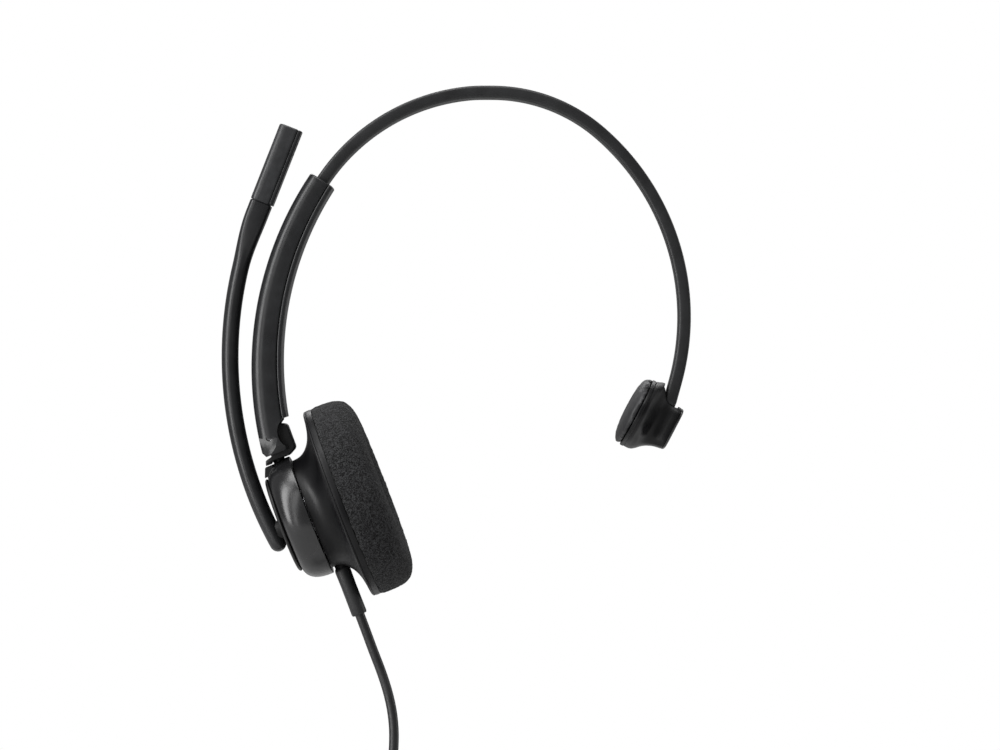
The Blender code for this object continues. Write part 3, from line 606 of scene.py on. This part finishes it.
def cheek_room():
    """The space between the foot's cheeks, where the knuckle turns."""
    rings = []
    for i in range(9):
        angle = 190.2 + 9.8 * i / 8
        a = polar(ARM_CENTRE, ARM_INNER - 8.0, angle)
        b = polar(ARM_CENTRE, ARM_OUTER_END - 1.1, angle)
        rings.append(box_ring(a, b, CHEEK_INSIDE))
    return loft_mesh("room", rings)


def foot_facets():
    """Slanted cuts that leave a flat facet on the outer edge of each side of the arm's foot."""
    facets = []
    outline = [(-14.0, 0.0), (0.0, 0.0), (0.0, -14.0), (-14.0, -14.0)]
    for side in (-1, 1):
        slant = Matrix.Rotation(math.radians(side * FACET_SLANT), 4, "Z")
        place = Matrix.Translation(Vector((-62.9, side * 8.5, -101.8)) * MM) @ slant
        low, high = sorted((0.0, side * 12.0))
        facets.append(slab_mesh("facet", outline, low, high, place))
    return facets


def make_arm():
    rings = arm_rings(1.58, None, 0.6, 4.2, 1.0)
    foot_inner, foot_outer = cup_point(-20.9, 9.9), cup_point(-20.9, 2.6)
    rings.append(arm_section(foot_inner, foot_outer, 0.0, None, 7.4, 1.2, 2.6))
    tools = [
        cylinder(NOTCH_RADIUS, -20.0, 20.0, across(*NOTCH_CENTRE), 96),
        cylinder(PIN_HOLE_RADIUS, -7.6, 7.6, across(*TILT_PIN)),
        channel_tool(-8.0, BAND_HALF + GAP),
        cheek_room(),
        *foot_facets(),
    ]
    shell = cut("arm_shell", loft_mesh("arm_shell", rings), *tools)
    piece("arm_shell", shell, "satin", "arm", "arm_outer_shell")

    cover = loft_mesh("arm_cover", arm_rings(0.0, 1.48, 0.9, 0.6, 0.911))
    screw_place = turned_frame(*polar(ARM_CENTRE, ARM_INNER + 0.5, 189.5), -99.5)
    bore = cylinder(1.0, -1.5, 5.2, screw_place, 32)
    cover = cut("arm_cover", cover, bore, channel_tool(-BAND_HALF - GAP, BAND_HALF + GAP))
    piece("arm_cover", cover, "satin", "arm", "arm_inner_cover")


make_arm()


# ---- tilting knuckle ----


def make_knuckle():
    """A block round the tilt pin, with a flange under it and a stem into the drum."""
    barrel = [polar((0.0, 0.0), 2.0, angle) for angle in range(-40, -200, -8)]
    flange = [(7.0, -1.8), (7.6, -2.6), (7.6, -4.1, 0.4), (6.1, -3.6, 0.4), (5.5, -1.3, 0.3), (1.8, -1.2)]
    back = [(-3.2, 1.6, 0.5), (-3.4, 3.4, 0.9), (-2.0, 6.3, 0.9), (5.6, 6.2, 0.8), (7.0, 3.6, 0.5)]
    block = slab_mesh("knuckle", fillet(flange + barrel + back), -5.0, 5.0, KNUCKLE, 0.5)
    stem = cylinder(1.8, 4.0, 12.8, KNUCKLE @ Matrix.Rotation(math.radians(90), 4, "Y"))
    bore = cylinder(PIN_HOLE_RADIUS, -8.0, 8.0, across(*TILT_PIN))
    # the knuckle's near-black look is partly painted shade for the notch between the arm and the drum
    piece("knuckle", cut("knuckle", block, bore, union=(stem,)), "dark", "knuckle", "tilt_knuckle")


make_knuckle()


# ---- ear cup ----


def make_drum():
    drum = [
        (17.1, 8.9, 0.2),
        (18.7, 8.9, 0.3),
        (18.7, 7.0),
        (18.5, 5.0, 0.8),
        (18.0, 3.3, 0.8),
        (17.2, 2.0, 0.8),
        (16.3, 1.2, 0.6),
        (15.2, 0.7, 0.4),
        (14.95, 0.7, 0.2),
        (14.95, 1.1, 0.1),
        (3.3, 1.1, 0.1),
        (3.3, 2.3, 0.2),
        (14.6, 2.3, 0.6),
        (17.1, 4.4, 0.8),
    ]
    mesh = turned_mesh("cup_drum", fillet(drum, steps=6), CUP)
    stem_hole = cylinder(2.1, -22.0, -14.0, cup_radial(SWIVEL_Z))
    shoulder = [(-18.1, 1.1, 0.5), (-15.15, -0.1, 0.3), (-15.15, 1.5), (-17.3, 3.1), (-18.2, 3.6)]
    seat = slab_mesh("seat", fillet(shoulder), -4.5, 4.5, CUP)
    piece("cup_drum", cut("cup_drum", mesh, stem_hole, union=(seat,)), "gloss", "ear_cup", "cup_housing")


def make_neck():
    plate = [(15.6, 18.15), (29.3, 18.15), (29.45, 18.0), (29.4, 17.65)]
    flare = [(28.9, 17.35), (26.4, 17.0), (23.2, 16.3), (20.6, 15.2)]
    throat = [(18.6, 13.6), (17.4, 11.6), (17.05, 9.2)]
    profile = plate + [tuple(p) for p in spline(flare + throat, 4)] + [(15.6, 9.2)]
    mesh = turned_mesh("cup_neck", profile, CUP)
    cord_hole = cylinder(2.25, 13.0, 20.0, cup_radial(CORD_HOLE_Z))
    pockets = []
    for k in range(3):
        x, y = polar((0.0, 0.0), 22.5, 120 * k + 60)
        pockets.append(cylinder(1.5, 16.7, 19.0, CUP @ Matrix.Translation((x * MM, y * MM, 0)), 32))
    piece("cup_neck", cut("cup_neck", mesh, cord_hole, *pockets), "semi", "ear_cup", "speaker_baffle")

    rim = [(29.45, 19.97, 0.12), (29.55, 18.9, 0.3), (29.45, 18.18, 0.1)]
    ring = fillet([(15.8, 19.97, 0.2), *rim, (15.8, 18.18, 0.2)])
    piece("cushion_rim", turned_mesh("cushion_rim", ring, CUP), "semi", "ear_cup", "cushion_ring")


def bake(obj):
    """Replaces an object's mesh with what its modifiers make of it."""
    bpy.context.view_layer.update()
    graph = bpy.context.evaluated_depsgraph_get()
    mesh = bpy.data.meshes.new_from_object(obj.evaluated_get(graph))
    obj.modifiers.clear()
    obj.data = mesh


def swell(obj, voxel, pressure, cap):
    """Remeshes a closed form, inflates it as cloth with no gravity, and limits how far a point moves."""
    remesh = obj.modifiers.new("remesh", "REMESH")
    remesh.mode = "VOXEL"
    remesh.voxel_size = voxel * MM
    bake(obj)
    rest = [v.co.copy() for v in obj.data.vertices]
    cloth = obj.modifiers.new("cloth", "CLOTH")
    cloth.settings.use_pressure = True
    cloth.settings.uniform_pressure_force = pressure
    cloth.settings.effector_weights.gravity = 0.0
    cloth.settings.quality = 4
    scene = bpy.context.scene
    for step in range(1, 21):
        scene.frame_set(step)
    bake(obj)
    for vertex, start in zip(obj.data.vertices, rest):
        move = vertex.co - start
        if move.length > cap * MM:
            vertex.co = start + move.normalized() * cap * MM
    scene.frame_set(1)
    smooth = obj.modifiers.new("smooth", "SMOOTH")
    smooth.factor = 0.5
    smooth.iterations = 2
    finer = obj.modifiers.new("finer", "SUBSURF")
    finer.levels = 1
    finer.render_levels = 1
    bake(obj)


def roughen(mesh, scale, height, matrix, ridged=False):
    """Moves each point along its normal by noise of a given feature size, in millimetres."""
    back = matrix.inverted()
    for vertex in mesh.vertices:
        place = (back @ vertex.co) / (scale * MM)
        value = noise.noise(place)
        if ridged:
            value = 0.5 - abs(value) * 2.0
        vertex.co += vertex.normal * value * height * MM


def trim_base(mesh):
    """Cuts the foam off flat where it meets its ring."""
    edit = bmesh.new()
    edit.from_mesh(mesh)
    origin = CUP @ Vector((0.0, 0.0, RIM_PLANE_Z * MM))
    way = (CUP.to_3x3() @ Vector((0.0, 0.0, 1.0))).normalized()
    everything = [*edit.verts, *edit.edges, *edit.faces]
    done = bmesh.ops.bisect_plane(edit, geom=everything, plane_co=origin, plane_no=way, clear_inner=True)
    rim = [item for item in done["geom_cut"] if isinstance(item, bmesh.types.BMEdge)]
    bmesh.ops.contextual_create(edit, geom=rim)
    edit.to_mesh(mesh)
    edit.free()


def make_ear_cushion():
    profile = [
        (0.0, 24.6),
        (8.0, 24.9, 3.0),
        (12.6, 27.6, 3.0),
        (16.4, 31.4, 2.5),
        (20.6, 32.3, 3.0),
        (25.8, 31.6, 3.0),
        (28.9, 29.4, 3.0),
        (29.75, 25.6, 3.0),
        (29.85, 19.2, 0.2),
        (0.0, 19.0),
    ]
    mesh = turned_mesh("ear_foam", fillet(profile, closed=False), CUP, 96)
    obj = bpy.data.objects.new("ear_foam", mesh)
    bpy.context.scene.collection.objects.link(obj)
    swell(obj, 1.3, 3.0, 0.3)
    trim_base(obj.data)
    roughen(obj.data, 0.8, 0.16, CUP)
    mesh = finish_mesh(obj.data, None, 65.0)
    mesh.name = "ear_foam"
    bpy.data.objects.remove(obj, do_unlink=True)
    piece("ear_foam", mesh, "foam", "ear_cup", "ear_cushion")


def make_strain_relief():
    profile = [
        (0.0, 31.9),
        (1.6, 31.9),
        (1.6, 33.0),
        (1.8, 33.2),
        (2.2, 33.1),
        (2.35, 32.6),
        (2.3, 24.0),
        (2.4, 19.0),
        (2.25, 18.3),
        (1.95, 17.9),
        (1.95, 14.9),
        (2.9, 14.7),
        (2.9, 14.0),
        (0.0, 14.0),
    ]
    mesh = turned_mesh("cord_grommet", profile, cup_radial(CORD_HOLE_Z), 48)
    piece("cord_grommet", mesh, "cord", "ear_cup", "strain_relief")


make_drum()
make_neck()
make_ear_cushion()
make_strain_relief()


# ---- boom microphone ----


def boom_place(angle):
    """A point on the boom's middle line, in the cup's frame."""
    turn = math.radians(angle)
    x, z = BOOM_ARC_CENTRE
    return Vector((x + BOOM_ARC_RADIUS * math.sin(turn), 0.0, z - BOOM_ARC_RADIUS * math.cos(turn)))


def boom_ring(centre, out, outer, inner, side, squareness):
    """A ring of the boom: round along the stalk, and a rounded rectangle at the neck."""
    ring = []
    power = 2.0 / (2.0 + 2.6 * squareness)
    for k in range(40):
        turn = 2 * math.pi * k / 40
        c, s = math.cos(turn), math.sin(turn)
        reach = math.copysign(abs(c) ** power, c) * (outer if c > 0 else inner)
        wide = math.copysign(abs(s) ** power, s) * side
        ring.append(centre + out * reach + Vector((0.0, wide, 0.0)))
    return ring


def make_hub():
    hub = [
        (0.0, 3.9),
        (3.0, 3.9),
        (3.0, 0.7),
        (14.0, 0.7, 0.3),
        (14.65, 0.2, 0.3),
        (14.65, -0.3, 0.4),
        (13.9, -0.7, 0.5),
        (12.2, -0.7, 0.2),
        (11.9, -0.5, 0.2),
        (11.5, -0.5, 0.2),
        (11.2, -0.7, 0.2),
        (0.0, -0.8),
    ]
    disc = turned_mesh("boom_disc", fillet(hub, closed=False), CUP)
    post = cylinder(3.2, -2.6, -0.4, CUP @ Matrix.Translation((1.2 * MM, 0, 0)))
    piece("boom_disc", cut("boom_disc", disc, union=(post,)), "dark", "boom", "boom_hub")


def make_boom():
    """The stalk: a round root, a round length, a neck that swells, and a tenon for the microphone."""
    shares = [0.0, 0.0015, 0.004, 0.008, 0.013, 0.019, 0.026] + [0.04 + 0.96 * i / 60 for i in range(61)]
    rings = []
    for share in shares:
        angle = BOOM_ROOT_ANGLE + (BOOM_TIP_ANGLE - BOOM_ROOT_ANGLE) * share
        centre = boom_place(angle)
        turn = math.radians(angle)
        out = Vector((math.sin(turn), 0.0, -math.cos(turn)))
        foot = min(1.0, share / 0.024)
        neck = max(0.0, (share - 0.84) / 0.16)
        radius = BOOM_RADIUS * math.sqrt(1.0 - (1.0 - foot) ** 2 * 0.985)
        ease = neck * neck * (3 - 2 * neck)
        side = radius * 1.3 + 1.15 * ease
        rings.append(boom_ring(centre, out, radius + 0.9 * ease, radius + 0.75 * ease, side, ease))
    tip_turn = math.radians(BOOM_TIP_ANGLE)
    along_tip = Vector((-math.cos(tip_turn), 0.0, -math.sin(tip_turn)))
    tenon = ((3.9, 0.2), (3.95, 0.45), (5.2, 0.5), (5.4, 0.9))
    for reach, inset in ((1.3, 0.0), (2.6, 0.0), (3.75, 0.0), *tenon):
        rings.append(boom_ring(centre + along_tip * reach, out, 3.45 - inset, 3.3 - inset, 4.46 - inset, 1.0))
    piece("boom_stalk", loft_mesh("boom_stalk", rings, CUP), "satin", "boom", "boom_arm")


TIP_TURN = Matrix.Rotation(math.radians(-90.0 - BOOM_TIP_ANGLE), 4, "Y")
TIP = CUP @ Matrix.Translation(boom_place(BOOM_TIP_ANGLE) * MM) @ TIP_TURN


def tip_body(name, left, right, half_depth, low, high, corner_left, corner_right, end_round):
    """A length of the microphone, as rounded sections along its local Z."""
    rings = []
    steps = [(low, 0.2), (low + 0.2, 0.0), (high - end_round, 0.0)]
    for k in range(1, 6):
        turn = math.pi / 2 * k / 5
        steps.append((high - end_round + end_round * math.sin(turn), end_round * (1 - math.cos(turn))))
    for z, inset in steps:
        corners = [
            (left + inset, -half_depth + inset, corner_left),
            (right - inset * 0.3, -half_depth + inset, corner_right),
            (right - inset * 0.3, half_depth - inset, corner_right),
            (left + inset, half_depth - inset, corner_left),
        ]
        rings.append([(x, y, z) for x, y in fillet(corners, steps=6)])
    return loft_mesh(name, rings, TIP)


def box_tool(x, y, z):
    """A box in the microphone's frame, from its ranges along each axis."""
    corners = ((x[0], y[0]), (x[1], y[0]), (x[1], y[1]), (x[0], y[1]))
    return loft_mesh("box_tool", [[(a, b, c) for a, b in corners] for c in z], TIP)


def make_microphone():
    body = tip_body("mic_shell", -3.5, 2.4, 4.5, 4.1, 28.2, 2.4, 0.9, 0.6)
    body = cut("mic_shell", body, box_tool((-2.2, 6.0), (-3.3, 3.3), (5.9, 26.6)))
    piece("mic_shell", body, "tip", "boom", "mic_tip_cover")
    grille = tip_body("mic_screen", 2.45, 3.5, 4.25, 4.2, 28.15, 0.2, 0.7, 0.3)
    slots = [box_tool((1.0, 5.0), (-1.6, 1.6), (20.3 + 1.7 * k, 21.1 + 1.7 * k)) for k in range(3)]
    piece("mic_screen", cut("mic_screen", grille, *slots), "satin", "boom", "mic_tip_grille")


make_hub()
make_boom()
make_microphone()


# ---- temple pad ----


def oval(half_x, half_y, centre_x, power=1.0, count=72):
    """An ellipse, or a rounded rectangle when the power is below one."""
    ring = []
    for k in range(count):
        turn = 2 * math.pi * k / count
        c, s = math.cos(turn), math.sin(turn)
        x = centre_x + half_x * math.copysign(abs(c) ** power, c)
        ring.append((x, half_y * math.copysign(abs(s) ** power, s)))
    return ring


def pad_rings(rows):
    """Rings of the pad's oval at heights and shares of its size."""
    wide, deep, middle = PAD_OVAL
    return [[(x, y, z) for x, y in oval(wide * share, deep * share, middle)] for z, share in rows]


def make_temple_housing():
    """A flared neck: a rounded rectangle at the end cap that opens into the oval plate."""
    rows = [
        (-11.25, -6.8, 6.4, 7.6, 0.4),
        (-11.0, -7.0, 6.6, 7.8, 0.4),
        (-10.0, -7.15, 6.7, 7.65, 0.4),
        (-8.9, -7.4, 6.8, 7.4, 0.42),
        (-7.8, -7.8, 7.1, 7.25, 0.45),
        (-6.6, -8.4, 7.7, 7.4, 0.5),
        (-5.4, -9.3, 8.8, 8.3, 0.6),
        (-4.4, -10.3, 10.2, 10.2, 0.75),
        (-3.5, -11.0, 11.0, 12.9, 0.9),
        (-2.6, -11.3, 10.9, 15.0, 1.0),
        (-1.9, -11.35, 10.6, 16.1, 1.0),
        (-1.05, -11.3, 10.3, 16.5, 1.0),
    ]
    rings = []
    for z, low, high, deep, power in spline(rows, 6):
        rings.append([(x, y, z) for x, y in oval((high - low) / 2, deep, (high + low) / 2, power)])
    body = loft_mesh("temple_neck", rings, TEMPLE)
    slot = [(0.4, -10.4), (14.0, -10.4), (14.0, -3.5), (10.0, -3.5), (5.0, -5.2), (0.4, -5.8)]
    band_room = slab_mesh("slot", fillet([(*p, 0.5) for p in slot]), -6.3, 6.3, TEMPLE)
    notch = [(6.7, -14.0), (14.0, -14.0), (14.0, -4.2), (11.0, -4.2, 0.3)]
    notch += [(8.4, -5.5, 1.2), (7.1, -7.0, 1.2), (6.7, -9.0, 0.8)]
    open_front = slab_mesh("notch", fillet(notch), -20.0, 20.0, TEMPLE)
    sideways = Matrix.Rotation(math.radians(-90), 4, "X")
    pin_place = TEMPLE @ Matrix.Translation((2.7 * MM, 0, -8.1 * MM)) @ sideways
    pin_hole = cylinder(PIN_HOLE_RADIUS, -7.0, 7.0, pin_place)
    bore = [(0.0, 0.0), (1.3, 0.0), (1.3, -7.4), (2.1, -7.4), (2.1, -12.0), (0.0, -12.0)]
    screw_hole = turned_mesh("bore", bore, TEMPLE @ Matrix.Translation((-3.4 * MM, 0, 0)), 32)
    body = cut("temple_neck", body, band_room, open_front, pin_hole, screw_hole)
    piece("temple_neck", body, "semi", "temple_pad", "temple_housing")


def make_temple_cap():
    rings = []
    for z, inset in ((-11.35, 0.1), (-11.5, 0.0), (-11.8, 0.1), (-12.05, 0.35), (-12.2, 0.8)):
        rings.append([(x, y, z) for x, y in oval(6.75 - inset, 7.6 - inset, -0.15, 0.45)])
    piece("temple_cap", loft_mesh("temple_cap", rings, TEMPLE), "gloss", "temple_pad", "temple_end_cap")


def make_temple_pillow():
    """The plate and the thin soft cushion on it."""
    edge = [(-1.0, 0.965), (-0.95, 0.985), (-0.8, 0.998), (-0.5, 1.0), (-0.1, 1.0)]
    plate = loft_mesh("temple_rim", pad_rings(edge + [(0.08, 0.995), (0.2, 0.98)]), TEMPLE)
    piece("temple_rim", plate, "semi", "temple_pad", "temple_plate")

    side = [(0.1, 0.98), (0.5, 1.0), (1.2, 0.985), (1.8, 0.95), (2.3, 0.89)]
    crown = [(2.75, 0.79), (3.1, 0.66), (3.35, 0.45), (3.5, 0.2)]
    form = loft_mesh("temple_pillow", pad_rings(spline(side + crown, 2)), TEMPLE)
    obj = bpy.data.objects.new("temple_pillow", form)
    bpy.context.scene.collection.objects.link(obj)
    swell(obj, 0.9, 3.0, 0.15)
    roughen(obj.data, 3.0, 0.08, TEMPLE @ Matrix.Diagonal((0.6, 1.6, 0.6, 1.0)), True)
    mesh = finish_mesh(obj.data, None, 180.0)
    mesh.name = "temple_pillow"
    bpy.data.objects.remove(obj, do_unlink=True)
    piece("temple_pillow", mesh, "soft", "temple_pad", "temple_cushion")


make_temple_housing()
make_temple_cap()
make_temple_pillow()


# ---- cord, tie and plug ----


CORD_ROUTE = [
    (-38.53, 0.0, -153.7),
    (-36.35, 0.0, -159.5),
    (-34.1, 0.0, -165.6),
    (-31.9, -0.1, -171.3),
    (-30.0, -0.5, -177.0),
    (-28.6, -1.3, -182.8),
    (-27.9, -2.5, -188.6),
    (-27.9, -3.7, -194.2),
    (-28.3, -4.5, -199.0),
    (-28.5, -4.65, -201.5),
]
TAIL_ROUTE = [
    (-38.1, -8.0, -221.3),
    (-39.6, -9.9, -224.3),
    (-40.2, -11.2, -227.6),
    (-40.3, -11.5, -231.0),
    (-40.3, -11.5, -233.2),
]


def coil_points():
    """Sixteen turns in four layers, each turn a cord's width from its neighbours."""
    points = []
    steps = 40
    levels = [-1.5, -0.5, 0.5, 1.5]
    seats = []
    for layer in range(4):
        radius = 21.65 - PITCH * layer
        rows = levels if layer % 2 == 0 else levels[::-1]
        seats += [(radius, level * PITCH) for level in rows]
    for turn, (radius, y) in enumerate(seats):
        after = seats[turn + 1] if turn + 1 < len(seats) else (radius, y)
        for k in range(steps):
            along_turn = 360.0 * k / steps
            share = max(0.0, (along_turn - 300.0) / 60.0)
            ease = share * share * (3 - 2 * share)
            r = radius + (after[0] - radius) * ease
            level = y + (after[1] - y) * ease
            x, z = polar(COIL, r, COIL_START + along_turn)
            points.append((x, level, z))
    return points


def make_cord():
    """One cord: it hangs, bends into the coil, runs through its turns and leaves to the plug."""
    bend = [polar((-34.5, -201.5), 6.0, angle) for angle in (-18, -37, -56, -72)]
    entry = [(x, CORD_LEVEL, z) for x, z in bend]
    leaving = []
    for angle, y in ((COIL_START, CORD_LEVEL), (115.0, -5.1), (125.0, -5.9), (135.0, -6.9)):
        x, z = polar(COIL, 12.35, angle)
        leaving.append((x, y, z))
    route = [tuple(p) for p in spline(CORD_ROUTE, 3)] + entry + coil_points()
    route += [tuple(p) for p in spline(leaving + TAIL_ROUTE, 3)]
    curve = bpy.data.curves.new("cord_line", "CURVE")
    curve.dimensions = "3D"
    curve.bevel_depth = CORD_RADIUS * MM
    curve.bevel_resolution = 3
    curve.use_fill_caps = True
    line = curve.splines.new("POLY")
    line.points.add(len(route) - 1)
    for point, place in zip(line.points, route):
        point.co = (*(Vector(place) * MM), 1.0)
    curve.materials.append(LOOKS["cord"])
    cord = bpy.data.objects.new("cord_line", curve)
    bpy.context.scene.collection.objects.link(cord)
    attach(cord, "ear_cup")
    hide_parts("cord", "cord_coil", "cord_tail")
    return cord


def make_tie():
    """A hook and loop strap wrapped once round the coil's section."""
    rings = []
    inner, outer, half = 10.35, 23.5, 6.6
    path = fillet([(inner, -half, 2.5), (outer, -half, 2.5), (outer, half, 2.5), (inner, half, 2.5)], steps=8)
    section = fillet([(-3.4, 0.0, 0.15), (3.4, 0.0, 0.15), (3.4, 0.8, 0.3), (-3.4, 0.8, 0.3)], steps=2)
    for k, (z, y) in enumerate(path):
        before, after = path[k - 1], path[(k + 1) % len(path)]
        way = Vector((after[0] - before[0], after[1] - before[1])).normalized()
        nz, ny = way.y, -way.x
        rings.append([(x, y + ny * t, z + nz * t) for x, t in section])
    mesh = loft_mesh("tie_band", rings, turned_frame(*COIL, 15.0), closed_path=True)
    return piece("tie_band", mesh, "tie", "ear_cup", "cord_tie")


def make_plug_grip(matrix):
    rings = []
    collar = [(0.0, 1.9, 1.9), (-0.5, 2.4, 2.4), (-2.0, 3.0, 2.9), (-4.0, 5.4, 3.4), (-5.6, 7.2, 3.75)]
    handle = [(-6.6, 7.7, 3.85), (-19.2, 7.8, 3.9), (-19.8, 7.5, 3.65), (-20.0, 7.1, 3.3)]
    for z, wide, thick in collar + handle:
        rings.append([(x, y, z) for x, y in oval(wide, thick, 0.0, 1.0 if z > -1.0 else 0.35, 64)])
    body = loft_mesh("plug_grip", rings, matrix)
    grooves = []
    for side in (-1, 1):
        for k in range(5):
            z = -9.0 - 2.0 * k
            outline = [(side * 7.5, z), (side * 9.0, z), (side * 9.0, z - 0.8), (side * 7.5, z - 0.8)]
            grooves.append(slab_mesh("groove", outline, -6.0, 6.0, matrix))
    return piece("plug_grip", cut("plug_grip", body, *grooves), "cord", "ear_cup", "plug_overmould")


def make_plug_sleeve(matrix):
    top, end = -20.3, -31.8
    outline = [(-6.0, top), (6.0, top), (6.0, end), (-6.0, end)]
    sleeve = slab_mesh("plug_sleeve", outline, -2.25, 2.25, matrix, 0.35)
    mouth = [(-5.65, end - 2.0), (5.65, end - 2.0), (5.65, top - 1.0), (-5.65, top - 1.0)]
    inside = slab_mesh("inside", mouth, -1.9, 1.9, matrix)
    holes = []
    for x in (-2.7, 2.7):
        outline = [(x - 1.1, -24.4), (x + 1.1, -24.4), (x + 1.1, -26.6), (x - 1.1, -26.6)]
        holes.append(slab_mesh("hole", outline, -5.0, 5.0, matrix))
    return piece("plug_sleeve", cut("plug_sleeve", sleeve, inside, *holes), "plated", "ear_cup", "plug_shell")


cord = make_cord()
tie = make_tie()
plug_place = Matrix.Translation(Vector(PLUG) * MM)
plug_pieces = [make_plug_grip(plug_place), make_plug_sleeve(plug_place)]


# ---- finishes of the CAD pieces that stay ----


KEPT = {
    "headband_spring_strip": "steel",
    "slider_block": "satin",
    "temple_hinge_eye": "steel",
    "arm_cover_screw": "steel",
    "tilt_pin": "steel",
    "swivel_clip": "steel",
    "baffle_screw_1": "steel",
    "baffle_screw_2": "steel",
    "baffle_screw_3": "steel",
    "speaker_grille": "satin",
    "speaker_basket": "steel",
    "speaker_diaphragm": "film",
    "speaker_magnet": "steel",
    "cup_circuit_board": "board",
    "plug_tongue": "dark",
    "boom_spring_washer": "steel",
    "boom_retaining_clip": "steel",
    "mic_capsule": "steel",
    "temple_pin": "steel",
    "temple_screw": "steel",
}
for name, look in KEPT.items():
    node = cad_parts[name]
    node.data.materials.clear()
    node.data.materials.append(LOOKS[look])


# ---- room and light ----


def make_floor():
    mesh = bpy.data.meshes.new("floor")
    edit = bmesh.new()
    bmesh.ops.create_circle(edit, cap_ends=True, segments=96, radius=0.55)
    edit.to_mesh(mesh)
    edit.free()
    floor = bpy.data.objects.new("floor", mesh)
    floor.location = (0.0, 0.0, -0.272)
    bpy.context.scene.collection.objects.link(floor)
    material, tree, shader = start_material("pale_floor", (0.62, 0.62, 0.62), 0.7)
    add_bump(tree, shader, [(noise_node(tree, 30.0), 0.05, 0.1)])
    mesh.materials.append(material)


def softbox(name, location, aim, width, height, radiance):
    """A rectangular studio light with a given brightness of its face."""
    data = bpy.data.lights.new(name, "AREA")
    data.shape = "RECTANGLE"
    data.size = width
    data.size_y = height
    data.energy = radiance * math.pi * width * height
    light = bpy.data.objects.new(name, data)
    light.location = location
    way = Vector(aim) - Vector(location)
    light.rotation_euler = way.to_track_quat("-Z", "Y").to_euler()
    bpy.context.scene.collection.objects.link(light)


def make_world():
    """White behind the object, and a dim grey room around it."""
    world = bpy.data.worlds.new("studio")
    bpy.context.scene.world = world
    world.use_nodes = True
    tree = world.node_tree
    backdrop = tree.nodes["Background"]
    backdrop.inputs["Color"].default_value = (1.0, 1.0, 1.0, 1.0)
    backdrop.inputs["Strength"].default_value = 1.0
    room = tree.nodes.new("ShaderNodeBackground")
    room.inputs["Color"].default_value = (1.0, 1.0, 1.0, 1.0)
    room.inputs["Strength"].default_value = 0.22
    seen = tree.nodes.new("ShaderNodeLightPath")
    mix = tree.nodes.new("ShaderNodeMixShader")
    tree.links.new(seen.outputs["Is Camera Ray"], mix.inputs["Fac"])
    tree.links.new(room.outputs["Background"], mix.inputs[1])
    tree.links.new(backdrop.outputs["Background"], mix.inputs[2])
    tree.links.new(mix.outputs["Shader"], tree.nodes["World Output"].inputs["Surface"])


make_floor()
make_world()
AIM = (0.0, 0.0, -0.1)
softbox("left_softbox", (-1.05, -0.60, 0.15), AIM, 0.5, 1.9, 5.6)
softbox("front_softbox", (-0.65, -1.2, 0.2), AIM, 0.3, 1.9, 1.9)
softbox("top_softbox", (-0.1, -0.25, 1.0), AIM, 1.1, 0.5, 5.5)
softbox("right_softbox", (1.1, 0.25, 0.15), AIM, 0.2, 1.0, 3.5)
softbox("back_softbox", (0.1, 1.2, 0.6), AIM, 1.2, 0.4, 2.5)
bpy.context.scene.view_settings.view_transform = "Standard"
